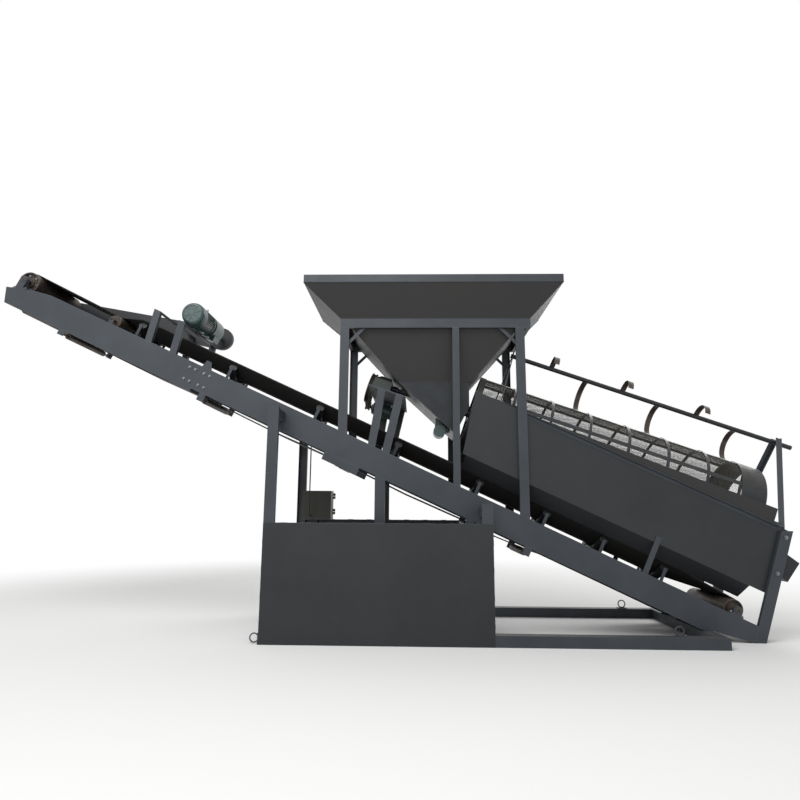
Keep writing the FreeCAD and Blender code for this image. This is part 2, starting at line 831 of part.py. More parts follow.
# Cross ties between the beams: place along the conveyor.
TIE_STATIONS = [-3480, -2950, -2500, -1400, -400, 500, 1300, 2150]
tie_top = as_size(-95)
web_y = S.beam_offset - S.beam_web
node(
    "conveyor_cross_ties",
    [
        centred_box(
            f"tie_{number}",
            (station, 0, tie_top - S.tie_size / 2),
            (S.tie_size, 2 * web_y, S.tie_size),
        )
        for number, station in enumerate(TIE_STATIONS, start=1)
    ],
    CONVEYOR,
)

# Belt: one closed loop, troughed on top and flat below. Stations along the conveyor:
IDLER_STATIONS = [-3069, -1972, -949, -56, 852, 1575, 2176, 2805]
RETURN_STATIONS = [-3700, -2050, -480, 900, 1500]


trough_rise = (S.trough_reach - S.trough_half) * sin_of(S.wing_angle) / cos_of(S.wing_angle)


def belt_section(s, rise):
    """Cross-section of the belt at a place along it: rise is 0 where it lies flat."""
    reach = S.belt_width.value / 2 + (S.trough_reach.value - S.belt_width.value / 2) * rise
    middle = S.trough_half.value
    lift = trough_rise.value * rise
    return [(-reach, lift), (-middle, 0), (middle, 0), (reach, lift)], s


def belt_wire(s, base, rise):
    """Closed wire of the belt's cross-section, base being the underside of its middle."""
    line, place = belt_section(s, rise)
    thick = S.belt_thick.value
    low = [Vector(place, y, base + n) for y, n in line]
    high = [Vector(place, y, base + n + thick) for y, n in reversed(line)]
    return Part.makePolygon(low + high + [low[0]])


def strip_solid(points, half_width, thick):
    """A flat strip of belt through points (s, n) of the side view, n being its middle."""
    half = thick / 2
    upper = [Vector(s, -half_width, n + half) for s, n in points]
    lower = [Vector(s, -half_width, n - half) for s, n in reversed(points)]
    face = Part.Face(Part.makePolygon(upper + lower + [upper[0]]))
    return face.extrude(Vector(0, 2 * half_width, 0))


def wrap_solid(s, n, radius, thick, half_width, side):
    """Half a turn of belt round a drum: side is -1 at the head and +1 at the tail."""
    outer = Part.makeCylinder(radius + thick, 2 * half_width, Vector(s, -half_width, n), Vector(0, 1, 0))
    inner = Part.makeCylinder(radius, 2 * half_width, Vector(s, -half_width, n), Vector(0, 1, 0))
    reach = 2 * (radius + thick)
    low_s = s - reach if side < 0 else s
    keep = Part.makeBox(reach, 2 * half_width, 2 * reach, Vector(low_s, -half_width, n - reach))
    return outer.cut(inner).common(keep)


def belt_loop():
    """The whole belt as one solid."""
    thick = S.belt_thick.value
    half_width = S.belt_width.value / 2
    head_s, head_n, head_r = head_drum_s.value, S.head_drum_n.value, S.head_drum_radius.value
    tail_s, tail_n, tail_r = S.tail_drum_s.value, S.tail_drum_n.value, S.tail_drum_radius.value
    head_r += S.seat_gap.value
    tail_r += S.seat_gap.value
    floor = S.belt_floor.value
    roll_top = S.bend_roll_n.value + S.bend_roll_radius.value + 2
    sections = [
        belt_wire(head_s, head_n + head_r, 0),
        belt_wire(S.bend_roll_s.value, roll_top, 0),
        belt_wire(IDLER_STATIONS[0] - 20, floor, 1),
        belt_wire(IDLER_STATIONS[-1] + 20, floor, 1),
        belt_wire(tail_s, tail_n + tail_r, 0),
    ]
    upper = [Part.makeLoft(sections[i:i + 2], True, True) for i in range(4)]
    carried = -S.return_depth.value
    points = [(head_s, head_n - head_r - thick / 2)]
    for station, follow in zip(RETURN_STATIONS, RETURN_STATIONS[1:] + [None]):
        points.append((station - 20, carried))
        points.append((station + 20, carried))
        if follow and follow - station > 500:
            points.append(((station + follow) / 2, carried - S.return_sag.value))
    points.append((tail_s, tail_n - tail_r - thick / 2))
    lower = strip_solid(points, half_width, thick)
    wraps = [
        wrap_solid(head_s, head_n, head_r, thick, half_width, -1),
        wrap_solid(tail_s, tail_n, tail_r, thick, half_width, 1),
    ]
    return upper[0].multiFuse(upper[1:] + [lower] + wraps).removeSplitter()


node("conveyor_belt", [drawn("belt_loop", belt_loop())], CONVEYOR)


def drum(name, s, n, radius, half, rim, hub):
    """A conveyor drum: shell, two set-back end discs and hub, with its shaft."""
    shell = tube(name + "_shell", (s, -half, n), radius, as_size(radius) - rim, 2 * as_size(half), "Y")
    discs = [
        tube(
            f"{name}_disc{number}",
            (s, y, n),
            as_size(radius) - rim,
            S.conveyor_shaft,
            as_size(12),
            "Y",
        )
        for number, y in enumerate((-as_size(half) + 25, as_size(half) - 37), start=1)
    ]
    hubs = [
        tube(f"{name}_hub{number}", (s, y, n), hub, S.conveyor_shaft, as_size(30), "Y")
        for number, y in enumerate((-as_size(half) + 7, as_size(half) - 37), start=1)
    ]
    reach = S.beam_offset - 2
    shaft = cylinder(name + "_shaft", (s, -reach, n), S.conveyor_shaft, 2 * reach, "Y")
    return fuse(name, [shell] + discs + hubs + [shaft])


head_drum = drum("head_drum_weld", head_drum_s, S.head_drum_n, S.head_drum_radius, S.drum_half, 12, 50)
node("head_drum", [head_drum], CONVEYOR)
tail_drum = drum("tail_drum_weld", S.tail_drum_s, S.tail_drum_n, S.tail_drum_radius, S.drum_half, 10, 45)
node("tail_drum", [tail_drum], CONVEYOR)

# Bearings that carry the drums on the beams, bored for the shaft.


def bearing(name, s, n, seats, width):
    """A pillow block up to the shaft from its seat on the beam: seats are the two ends' heights."""
    rear_seat, front_seat = seats
    foot_y = -(S.beam_offset - 8)
    outline = [
        (s - width, rear_seat),
        (s + width, front_seat),
        (s + width, front_seat + 14),
        (s + as_size(width) * 0.62, front_seat + 14),
        (s + as_size(width) * 0.62, n + 22),
        (s + 22, n + as_size(width) * 0.62),
        (s - 22, n + as_size(width) * 0.62),
        (s - as_size(width) * 0.62, n + 22),
        (s - as_size(width) * 0.62, rear_seat + 14),
        (s - width, rear_seat + 14),
    ]
    block = outline_plate(name + "_block", "XZ_Plane", outline, S.beam_offset - 50, 42)
    bore = cylinder(name + "_bore", (s, foot_y - 5, n), S.conveyor_shaft + S.running_gap, as_size(60), "Y")
    return cut(name, block, bore)


head_slope = (as_size(-33) + 113) / (seat_s - head_end)
head_seats = [-113 + (head_drum_s + way * S.bearing_half - head_end) * head_slope for way in (-1, 1)]
head_bearing = bearing("head_bearing", head_drum_s, S.head_drum_n, head_seats, S.bearing_half)
tail_seats = [as_size(0), as_size(0)]
tail_bearing = bearing("tail_bearing", S.tail_drum_s, S.tail_drum_n, tail_seats, S.bearing_half)

bend_roll = cylinder(
    "bend_roll",
    (S.bend_roll_s, -(S.beam_offset - 40), S.bend_roll_n),
    as_size(16),
    2 * (S.beam_offset - 40),
    "Y",
)
bend_shell = cylinder(
    "bend_shell",
    (S.bend_roll_s, -S.drum_half, S.bend_roll_n),
    S.bend_roll_radius,
    2 * S.drum_half,
    "Y",
)
flat_roller = fuse("flat_roller_weld", [bend_roll, bend_shell])
roller_lug = outline_plate(
    "roller_lug",
    "XZ_Plane",
    [
        (S.bend_roll_s - 25, 0),
        (S.bend_roll_s + 25, 0),
        (S.bend_roll_s + 20, S.bend_roll_n + 20),
        (S.bend_roll_s - 20, S.bend_roll_n + 20),
    ],
    S.beam_offset - 38,
    as_size(8),
)
lug_bore = cylinder(
    "lug_bore",
    (S.bend_roll_s, -S.beam_offset, S.bend_roll_n),
    as_size(16) + S.running_gap,
    as_size(80),
    "Y",
)
roller_lug_bored = cut("roller_lug_bored", roller_lug, lug_bore)
node("conveyor_bearings", pair([head_bearing, tail_bearing, roller_lug_bored]), CONVEYOR)

# Troughing idlers
wing_sin = sin_of(S.wing_angle)
wing_cos = cos_of(S.wing_angle)
roll_clear = S.roll_radius + S.seat_gap
wing_low_y = S.trough_half + 12 + roll_clear * wing_sin
wing_length = as_size(185)


def rolls(number, station):
    """Three rolls of one idler, under the belt."""
    middle = cylinder(
        f"roll_middle{number}",
        (station, -S.trough_half + 5, S.belt_floor - roll_clear),
        S.roll_radius,
        2 * S.trough_half - 10,
        "Y",
    )
    wing = doc.addObject("Part::Cylinder", f"roll_wing{number}")
    wing.Radius = S.roll_radius.value
    wing.Height = wing_length.value
    bind(wing, "Radius", S.roll_radius)
    bind(wing, "Height", wing_length)
    start_y = S.trough_half + 12 * wing_cos + roll_clear * wing_sin
    start_n = S.belt_floor + 12 * wing_sin - roll_clear * wing_cos
    set_place(wing, (station, start_y, start_n), FreeCAD.Rotation(Vector(-1, 0, 0), 90 - S.wing_angle.value))
    bind(wing, "Placement.Rotation.Angle", 90 - S.wing_angle)
    return [middle, wing, mirror(wing)]


def idler_frame(number, station):
    """The cross bar under the belt and the two uprights that hold the rolls."""
    bar_top = S.belt_floor - 2 * roll_clear - 12
    bar = centred_box(
        f"idler_bar{number}",
        (station, 0, bar_top - S.idler_bar / 2),
        (S.idler_bar, 2 * web_y, S.idler_bar),
    )
    end_y = S.trough_half + (12 + wing_length) * wing_cos + roll_clear * wing_sin
    end_n = S.belt_floor + (12 + wing_length) * wing_sin - roll_clear * wing_cos
    upright = box(
        f"idler_upright{number}",
        (station - 15, end_y + S.roll_radius * wing_sin + S.seat_gap, bar_top),
        (30, 8, end_n - bar_top),
    )
    foot = box(
        f"idler_foot{number}",
        (station - 15, -30, bar_top),
        (30, 60, S.belt_floor - 2 * roll_clear - bar_top),
    )
    return fuse(f"idler_frame{number}", [bar, upright, mirror(upright), foot])


idler_rolls = []
idler_frames = []
for number, station in enumerate(IDLER_STATIONS, start=1):
    idler_rolls.extend(rolls(number, as_size(station)))
    idler_frames.append(idler_frame(number, as_size(station)))
node("idler_rolls", idler_rolls, CONVEYOR)
node("idler_frames", idler_frames, CONVEYOR)

# Plain rollers on through shafts between the webs: the return run's, and one under the head drum
snub_s = head_drum_s + 136


def plain_roller(name, s, n, radius, half):
    """A roller on its shaft, web to web."""
    body = cylinder(name + "_body", (s, -half, n), radius, 2 * as_size(half), "Y")
    shaft = cylinder(name + "_shaft", (s, -web_y, n), as_size(12), 2 * web_y, "Y")
    return fuse(name, [body, shaft])


return_roll_n = -S.return_depth - S.belt_thick / 2 - S.seat_gap - S.return_roll_radius
plain_rollers = [
    plain_roller(f"return_roll{number}", as_size(station), return_roll_n, S.return_roll_radius, S.belt_width / 2 + 40)
    for number, station in enumerate(RETURN_STATIONS, start=1)
]
snub = plain_roller("snub_roll", snub_s, as_size(-245), as_size(42), S.beam_offset - 90)
node("plain_rollers", plain_rollers + [snub, flat_roller], CONVEYOR)

# Hangers under the beams for the return rollers: place, half length, depth of the beam there
HANGERS = [(-3700, 35, 275), (-2050, 35, 250), (-480, 190, 250), (900, 35, 250), (1500, 35, 250)]
hanger_foot = return_roll_n - 22
hangers = []
for station, half, deep in HANGERS:
    plate = box(
        f"hanger{len(hangers) + 1}",
        (as_size(station - half), -S.beam_offset, hanger_foot),
        (as_size(2 * half), S.beam_web, -deep - hanger_foot),
    )
    hangers.append(plate)
node("roller_hangers", pair(hangers), CONVEYOR)

# Belt drive: stand, motor with its reducer, chain case

leg_stations = [("rear", S.motor_s - 259), ("front", S.motor_s + 32)]
legs = []
for name, station in leg_stations:
    low = (station, as_size(0))
    high = (station - S.drive_leg_lean, S.drive_leg_height)
    legs.append(
        outline_plate(
            "drive_leg_" + name,
            "XZ_Plane",
            bar_outline(low, high, S.drive_leg_width),
            S.beam_offset - 50,
            as_size(50),
        )
    )
drive_bars = [
    box(
        "drive_bar_" + name,
        (station - S.drive_leg_lean - S.drive_leg_width / 2, -S.beam_offset, S.drive_leg_height),
        (S.drive_leg_width, 2 * S.beam_offset, 12),
    )
    for name, station in leg_stations
]
node("belt_drive_stand", [fuse("belt_drive_stand_weld", pair(legs) + drive_bars)], CONVEYOR)

motor_bottom = S.drive_leg_height + 12
motor_body = cylinder("motor_body", (S.motor_s, -330, S.motor_n), S.motor_radius - 8, 300, "Y")
fan_cover = cylinder("fan_cover", (S.motor_s, -470, S.motor_n), S.motor_radius, 140, "Y")
motor_box = box("motor_box", (S.motor_s + 60, -250, S.motor_n + 40), (100, 120, 90))
motor_feet = box("motor_feet", (S.motor_s - 110, -300, motor_bottom), (220, 220, S.motor_n - motor_bottom - 60))
node("belt_motor", [fuse("belt_motor_weld", [motor_body, fan_cover, motor_box, motor_feet])], CONVEYOR)

reducer_body = cylinder("reducer_body", (S.motor_s, -30, S.motor_n), as_size(120), 240, "Y")
reducer_feet = box(
    "reducer_feet",
    (S.motor_s - 120, 20, motor_bottom),
    (240, 160, S.motor_n - motor_bottom - 60),
)
reducer_shaft = cylinder("reducer_shaft", (S.motor_s, 210, S.motor_n), as_size(30), 254, "Y")
node("belt_reducer", [fuse("belt_reducer_weld", [reducer_body, reducer_feet, reducer_shaft])], CONVEYOR)

# Chain case on the far side from the reducer to the head drum


def chain_case():
    """A round-ended flat case round the drive chain."""
    big, small, depth, start = 130.0, 90.0, 55.0, S.beam_offset.value
    a = Vector(S.motor_s.value, start, S.motor_n.value)
    b = Vector(head_drum_s.value, start, S.head_drum_n.value)
    distance = (b - a).Length
    along = (b - a).normalize()
    across = Vector(-along.z, 0, along.x)
    lean = math.asin((big - small) / distance)
    points = []
    for sign in (1, -1):
        direction = across * (sign * math.cos(lean)) + along * math.sin(lean)
        points.append((a + direction * big, b + direction * small))
    (a_up, b_up), (a_down, b_down) = points
    wire = Part.Wire([
        Part.LineSegment(a_up, b_up).toShape(),
        Part.Arc(b_up, b + along * small, b_down).toShape(),
        Part.LineSegment(b_down, a_down).toShape(),
        Part.Arc(a_down, a - along * big, a_up).toShape(),
    ])
    solid = Part.Face(wire).extrude(Vector(0, depth, 0))
    shafts = [
        Part.makeCylinder(30.3, 20, a - Vector(0, 10, 0), Vector(0, 1, 0)),
        Part.makeCylinder(25.3, 20, b - Vector(0, 10, 0), Vector(0, 1, 0)),
    ]
    return solid.cut(shafts[0]).cut(shafts[1])


node("belt_chain_case", [drawn("chain_case", chain_case())], CONVEYOR)

# Hopper

ring_inner_rear = S.ring_rear + S.column_width / 2
ring_bottom = S.ring_top - S.ring_height
rim_bottom = S.rim_top - S.rim_height


def frame_walls(name, low, high, wall):
    """One weldment of four mitred walls round a rectangle: low and high are (z, rear, front, half width)."""
    walls = []
    wall = as_size(wall)

    def corners(level):
        z, rear, front, half = (as_size(item) for item in level)
        outer = [(rear, -half), (front, -half), (front, half), (rear, half)]
        inner = [
            (rear + wall, -half + wall),
            (front - wall, -half + wall),
            (front - wall, half - wall),
            (rear + wall, half - wall),
        ]
        return z, outer, inner

    z_low, outer_low, inner_low = corners(low)
    z_high, outer_high, inner_high = corners(high)
    for index, side in enumerate(("near", "front", "far", "rear")):
        follow = (index + 1) % 4
        walls.append(
            loft_piece(
                f"{name}_{side}",
                "XY_Plane",
                [
                    (z_low, [outer_low[index], outer_low[follow], inner_low[follow], inner_low[index]]),
                    (z_high, [outer_high[index], outer_high[follow], inner_high[follow], inner_high[index]]),
                ],
            )
        )
    return [fuse(name + "_weld", walls)]


ring_half = S.beam_offset
node(
    "hopper_ring_beam",
    frame_walls(
        "ring_beam",
        (ring_bottom, S.ring_rear, S.ring_front, ring_half),
        (S.ring_top, S.ring_rear, S.ring_front, ring_half),
        S.column_depth,
    ),
)
node(
    "hopper_flare",
    frame_walls(
        "flare",
        (S.ring_top, S.ring_rear, S.ring_front, ring_half),
        (rim_bottom, S.rim_rear, S.rim_front, S.rim_half),
        S.hopper_sheet * 1.5,
    ),
)
node(
    "hopper_rim",
    frame_walls(
        "rim",
        (rim_bottom, S.rim_rear, S.rim_front, S.rim_half),
        (S.rim_top, S.rim_rear, S.rim_front, S.rim_half),
        as_size(40),
    ),
)
funnel_inset = S.column_depth
node(
    "hopper_funnel",
    frame_walls(
        "funnel",
        (S.outlet_z, S.outlet_rear, S.outlet_front, S.outlet_half),
        (S.ring_top, S.ring_rear + funnel_inset, S.ring_front - funnel_inset, ring_half - funnel_inset),
        S.hopper_sheet * 1.5,
    ),
)

# Columns: name, rear face, width
COLUMNS = [
    ("rear", S.ring_rear, S.column_width),
    ("middle", S.ring_rear + 1142, S.column_width - 22),
    ("front", S.ring_rear + 1782, S.column_width),
]
columns = []
for name, rear, width in COLUMNS:
    front = rear + width
    outline = [(rear, beam_top(rear)), (front, beam_top(front)), (front, ring_bottom), (rear, ring_bottom)]
    inset = S.column_wall
    hollow = [
        (rear + inset, beam_top(rear + inset) - 1),
        (front - inset, beam_top(front - inset) - 1),
        (front - inset, ring_bottom + 1),
        (rear + inset, ring_bottom + 1),
    ]
    columns.append(
        channel("column_" + name, outline, hollow, S.beam_offset - S.column_depth, S.column_depth, S.column_wall)
    )
node("hopper_columns", pair(columns))

# Gussets at the top corners of the columns: name, corner x, direction
gusset_leg = as_size(170)
gusset_bar = as_size(45)
GUSSETS = [("rear", S.ring_rear + S.column_width, 1), ("front", COLUMNS[2][1], -1)]
gussets = []
for name, x, way in GUSSETS:
    outline = [
        (x, ring_bottom - gusset_leg),
        (x, ring_bottom - gusset_leg + gusset_bar),
        (x + (gusset_leg - gusset_bar) * way, ring_bottom),
        (x + gusset_leg * way, ring_bottom),
    ]
    gussets.append(outline_plate("hopper_gusset_" + name, "XZ_Plane", outline, S.beam_offset - 30, as_size(8)))
node("corner_gussets", pair([gusset, front_gusset] + gussets))

# Feed chute: sloping floor and two cheeks, open towards the screen's mouth
chute_slope = (S.outlet_z - S.chute_lip_z) / (S.chute_lip_x - S.outlet_rear)
cheek = outline_plate(
    "chute_cheek",
    "XZ_Plane",
    [
        (S.outlet_rear + 12, S.outlet_z),
        (S.outlet_rear + 12 + (S.outlet_z - S.chute_lip_z - 12) / chute_slope, S.chute_lip_z + 12),
        (S.outlet_front - 30, S.chute_front_z),
        (S.outlet_front - 30, S.outlet_z),
    ],
    S.outlet_half - S.hopper_sheet,
    S.hopper_sheet,
)
floor_plate = outline_plate(
    "chute_floor",
    "XZ_Plane",
    [
        (S.outlet_rear, S.outlet_z),
        (S.chute_lip_x, S.chute_lip_z),
        (S.chute_lip_x + 12, S.chute_lip_z),
        (S.outlet_rear + 12, S.outlet_z),
    ],
    -S.outlet_half,
    2 * S.outlet_half,
)
gear_end = as_size(-870)
shaft_start = gear_end - 60
shaft_end = S.screen_length + 190
floor_hole = doc.addObject("Part::Cylinder", "floor_hole")
floor_hole.Radius = (S.screen_shaft + 12).value
floor_hole.Height = 400
bind(floor_hole, "Radius", S.screen_shaft + 12)
hole_x, hole_z = from_screen(-900, 0)
set_place(floor_hole, (hole_x, 0, hole_z), FreeCAD.Rotation(Vector(0, 1, 0), 90 + S.screen_slope.value))
bind(floor_hole, "Placement.Rotation.Angle", 90 + S.screen_slope)
chute_floor = cut("chute_floor_bored", floor_plate, floor_hole)
node("feed_chute", [fuse("feed_chute_weld", pair([cheek]) + [chute_floor])])

# Vibrator under the chute's floor
vib_x = as_size(480)
vib_z = S.outlet_z - (vib_x - S.outlet_rear) * chute_slope
vibrator = cylinder("vibrator_body", (vib_x - 52, -210, vib_z - 58), S.vibrator_radius, 180, "Y")
vibrator_foot = outline_plate(
    "vibrator_foot",
    "XZ_Plane",
    [
        (vib_x - 90, vib_z + 90 * chute_slope),
        (vib_x - 100, vib_z - 40),
        (vib_x - 20, vib_z - 80),
        (vib_x + 60, vib_z - 60 * chute_slope),
    ],
    as_size(60),
    as_size(100),
)
node("vibrator", [fuse("vibrator_weld", [vibrator, vibrator_foot])])

# Screen drum

mesh_outer = S.screen_radius - S.hoop_wall - S.seat_gap
mesh_length = S.screen_length - S.mouth_band - S.end_band
MESH_PANELS = 16
panel_angle = 2 * math.pi / MESH_PANELS
mesh_panels = []
for number in range(MESH_PANELS):
    inner, outer = (mesh_outer - S.mesh_wall).value, mesh_outer.value
    first = panel_angle * number + S.mesh_gap.value / outer
    last = panel_angle * (number + 1)
    rim = []
    for radius in (inner, outer):
        rim.append([
            Vector(S.mouth_band.value, radius * math.sin(turn), radius * math.cos(turn))
            for turn in (first, (first + last) / 2, last)
        ])
    low, high = rim
    edges = [
        Part.Arc(*low).toShape(),
        Part.LineSegment(low[2], high[2]).toShape(),
        Part.Arc(high[2], high[1], high[0]).toShape(),
        Part.LineSegment(high[0], low[0]).toShape(),
    ]
    panel = Part.Face(Part.Wire(edges)).extrude(Vector(mesh_length.value, 0, 0))
    mesh_panels.append(drawn(f"mesh_panel{number + 1}", panel))
node("screen_mesh", mesh_panels, SCREEN)

hoop_inner = S.screen_radius - S.hoop_wall
band_inner = hoop_inner - 6
BAR_COUNT = 8
bar_half, bar_wall = 20, 5
ring_inner = as_size(round(math.hypot(hoop_inner.value + bar_wall, bar_half), 1) + 0.1)


def drum_bars(name):
    """The drum's flat bars, from band to band on the mesh."""
    bars = []
    for number in range(BAR_COUNT):
        bar = doc.addObject("Part::Box", f"{name}{number + 1}")
        bind(bar, "Length", mesh_length)
        bar.Width = 2 * bar_half
        bar.Height = bar_wall
        angle = math.radians(360.0 / BAR_COUNT * (number + 0.5))
        normal = Vector(0, math.sin(angle), math.cos(angle))
        across = Vector(0, math.cos(angle), -math.sin(angle))
        corner = normal * hoop_inner.value - across * bar_half + Vector(S.mouth_band.value, 0, 0)
        bar.Placement = FreeCAD.Placement(corner, FreeCAD.Rotation(Vector(1, 0, 0), -math.degrees(angle)))
        bars.append(bar)
    return bars


hoops = [
    tube("mouth_band_ring", (0, 0, 0), S.screen_radius, band_inner, S.mouth_band, "X"),
    tube(
        "end_band_ring",
        (S.screen_length - S.end_band, 0, 0),
        S.screen_radius,
        band_inner,
        S.end_band,
        "X",
    ),
]
for number in range(6):
    station = S.hoop_pitch * (number + 1) - S.hoop_width / 2 - 10
    hoops.append(tube(f"hoop{number + 1}", (station, 0, 0), S.screen_radius, ring_inner, S.hoop_width, "X"))
node("screen_hoops", hoops, SCREEN)

# Bars and spokes: each spoke from its hub to the band
hub_radius = S.screen_shaft + 22
hub_length = as_size(60)
spoke_end = math.sqrt(band_inner.value ** 2 - 25 ** 2)
spokes = []
for end, station in (("mouth", as_size(10)), ("outlet", S.screen_length - 70)):
    for number in range(4):
        spoke = doc.addObject("Part::Box", f"{end}_spoke{number + 1}")
        spoke.Length = 12
        spoke.Width = 50
        spoke.Height = spoke_end - hub_radius.value
        angle = math.pi / 2 * number
        normal = Vector(0, math.sin(angle), math.cos(angle))
        across = Vector(0, math.cos(angle), -math.sin(angle))
        corner = normal * hub_radius.value - across * 25 + Vector(as_size(station).value, 0, 0)
        spoke.Placement = FreeCAD.Placement(corner, FreeCAD.Rotation(Vector(1, 0, 0), -math.degrees(angle)))
        spokes.append(spoke)
node("screen_bars", drum_bars("drum_bar") + spokes, SCREEN)

# Shaft, with its hubs and its coupling to the gearbox
shaft_bar = cylinder(
    "screen_shaft_bar", (shaft_start, 0, 0), S.screen_shaft, shaft_end - shaft_start, "X"
)
node("screen_shaft", [shaft_bar], SCREEN)
hubs = [
    tube(f"{end}_hub", (station - 5, 0, 0), hub_radius, S.screen_shaft, hub_length, "X")
    for end, station in (("mouth", as_size(10)), ("outlet", S.screen_length - 70))
]
coupling = tube("coupling", (gear_end + 8, 0, 0), as_size(38), S.screen_shaft, as_size(57), "X")
node("shaft_hubs", hubs + [coupling], SCREEN)

# Screen's outlet bearing on a cross beam between the end posts

bearing_station = S.screen_length + 110
post_lean_top = S.housing_high
bearing_x, bearing_z = from_screen(bearing_station, 0)
bearing_block = outline_plate(
    "outlet_bearing_block",
    "XZ_Plane",
    [
        (bearing_station, -95),
        (bearing_station + 50, -95),
        (bearing_station + 50, 58),
        (bearing_station, 58),
    ],
    as_size(-75),
    as_size(150),
)
bearing_bore = cylinder(
    "outlet_bearing_bore",
    (bearing_station - 5, 0, 0),
    S.screen_shaft + S.running_gap,
    60,
    "X",
)
node("outlet_bearing", [cut("outlet_bearing_bored", bearing_block, bearing_bore)], SCREEN)
plate_y = S.beam_offset - S.column_depth
cross_bar = box(
    "outlet_cross_bar_block",
    (bearing_station - 10, -(plate_y - S.housing_sheet), -95 - S.tie_size),
    (70, 2 * (plate_y - S.housing_sheet), S.tie_size),
)
node("outlet_cross_bar", [cross_bar], SCREEN)

# Housing: side plates, folded lips, skirts and filler strips, in the conveyor's frame

housing_plate = outline_plate(
    "housing_plate",
    "XZ_Plane",
    [
        (S.housing_rear_low, S.housing_low),
        (S.housing_front - 30, S.housing_low),
        (S.housing_front, S.housing_high),
        (S.housing_rear_high, S.housing_high),
    ],
    plate_y - S.housing_sheet,
    S.housing_sheet,
)
node("housing_plates", pair([housing_plate]), CONVEYOR)
front_column_s = (S.ring_rear + 1782 + S.column_width) / CONVEYOR_COS
lip_start, lip_above = on_conveyor(S.ring_rear + 1782 + S.column_width + 25, 2150)
lip = box(
    "housing_lip",
    (lip_start, -plate_y - 36, S.housing_high - 36),
    (S.housing_front - 110 - lip_start, 36, 36),
)
lip_cut = box(
    "housing_lip_hollow",
    (lip_start - 1, -plate_y - 37, S.housing_high - 37),
    (S.housing_front - 108 - lip_start, 33, 33),
)
node("housing_lips", pair([cut("housing_lip_angle", lip, lip_cut)]), CONVEYOR)
skirt_end = S.housing_front - 190
skirt = loft_piece(
    "skirt_plate",
    "YZ_Plane",
    [
        (
            place,
            [
                (-plate_y, S.housing_low),
                (-plate_y + S.skirt_inset, S.housing_low - S.skirt_drop),
                (-plate_y + S.skirt_inset + 5, S.housing_low - S.skirt_drop),
                (-plate_y + 5, S.housing_low),
            ],
        )
        for place in (S.housing_rear_low + 40, skirt_end)
    ],
)
node("housing_skirts", pair([skirt]), CONVEYOR)
filler = outline_plate(
    "filler_plate",
    "XZ_Plane",
    [
        (S.housing_rear_low + 430, S.housing_high - 30),
        (S.housing_front - 170, S.housing_high - 30),
        (S.housing_front - 180, S.housing_high + S.filler_rise),
        (S.housing_rear_low + 430, S.housing_high),
    ],
    plate_y - 2 * S.housing_sheet,
    S.housing_sheet,
)
node("housing_fillers", pair([filler]), CONVEYOR)

# Struts from the beams up to the skirts' top edge: place along the conveyor
STRUT_STATIONS = [2590]
struts = [
    outline_plate(
        f"strut{number}",
        "XZ_Plane",
        bar_outline((as_size(station), as_size(0)), (as_size(station), S.housing_low + 60), as_size(50)),
        plate_y,
        as_size(10),
    )
    for number, station in enumerate(STRUT_STATIONS, start=1)
]
node("housing_struts", pair(struts), CONVEYOR)

# End posts from the ground to the housing's front corner
post_low = (S.end_post_x, as_size(0))
post_high = (S.end_post_x + S.end_post_height * end_slope, S.end_post_height)
end_outline = bar_outline(post_low, post_high, S.end_post_width)
end_post = outline_plate("end_post", "XZ_Plane", end_outline, plate_y, S.column_depth)
node("end_posts", pair([end_post]))

# Stone chute out of the screen's front end
chute_tip = (as_size(3806), as_size(712))
chute_toe = (as_size(3681), as_size(545))
flow_dx, flow_dz = as_size(-400), as_size(300)
stone_y = plate_y - S.housing_sheet
stone_cheek = outline_plate(
    "stone_cheek",
    "XZ_Plane",
    [
        chute_toe,
        chute_tip,
        (chute_tip[0] + flow_dx * 0.45, chute_tip[1] + flow_dz * 0.45),
        (chute_toe[0] + flow_dx * 0.75, chute_toe[1] + flow_dz * 0.75),
    ],
    stone_y - 5,
    as_size(5),
)
stone_floor = outline_plate(
    "stone_floor",
    "XZ_Plane",
    [
        chute_toe,
        (chute_toe[0] + flow_dx * 0.75, chute_toe[1] + flow_dz * 0.75),
        (chute_toe[0] + flow_dx * 0.75 - 4, chute_toe[1] + flow_dz * 0.75 - 5),
        (chute_toe[0] - 4, chute_toe[1] - 5),
    ],
    -stone_y,
    2 * stone_y,
)
node("stone_chute", [fuse("stone_chute_weld", pair([stone_cheek]) + [stone_floor])])

# Cleaner: pipe over the screen with curved strips, on two A-frames

pipe_n = S.screen_radius + S.pipe_lift
pipe_start = as_size(235)
pipe_tip_x = S.overall_length / 2
pipe_length = (pipe_tip_x - S.screen_x - pipe_n * SCREEN_SIN - S.pipe_radius * SCREEN_SIN) / SCREEN_COS - pipe_start
pipe = cylinder("cleaner_pipe_bar", (pipe_start, 0, pipe_n), S.pipe_radius, pipe_length, "X")
node("cleaner_pipe", [pipe], SCREEN)

# Cleaner strips: place along the screen, kind
STRIPS = [(665, "up"), (1055, "down"), (1457, "up"), (1848, "down"), (2260, "up"), (2672, "down")]


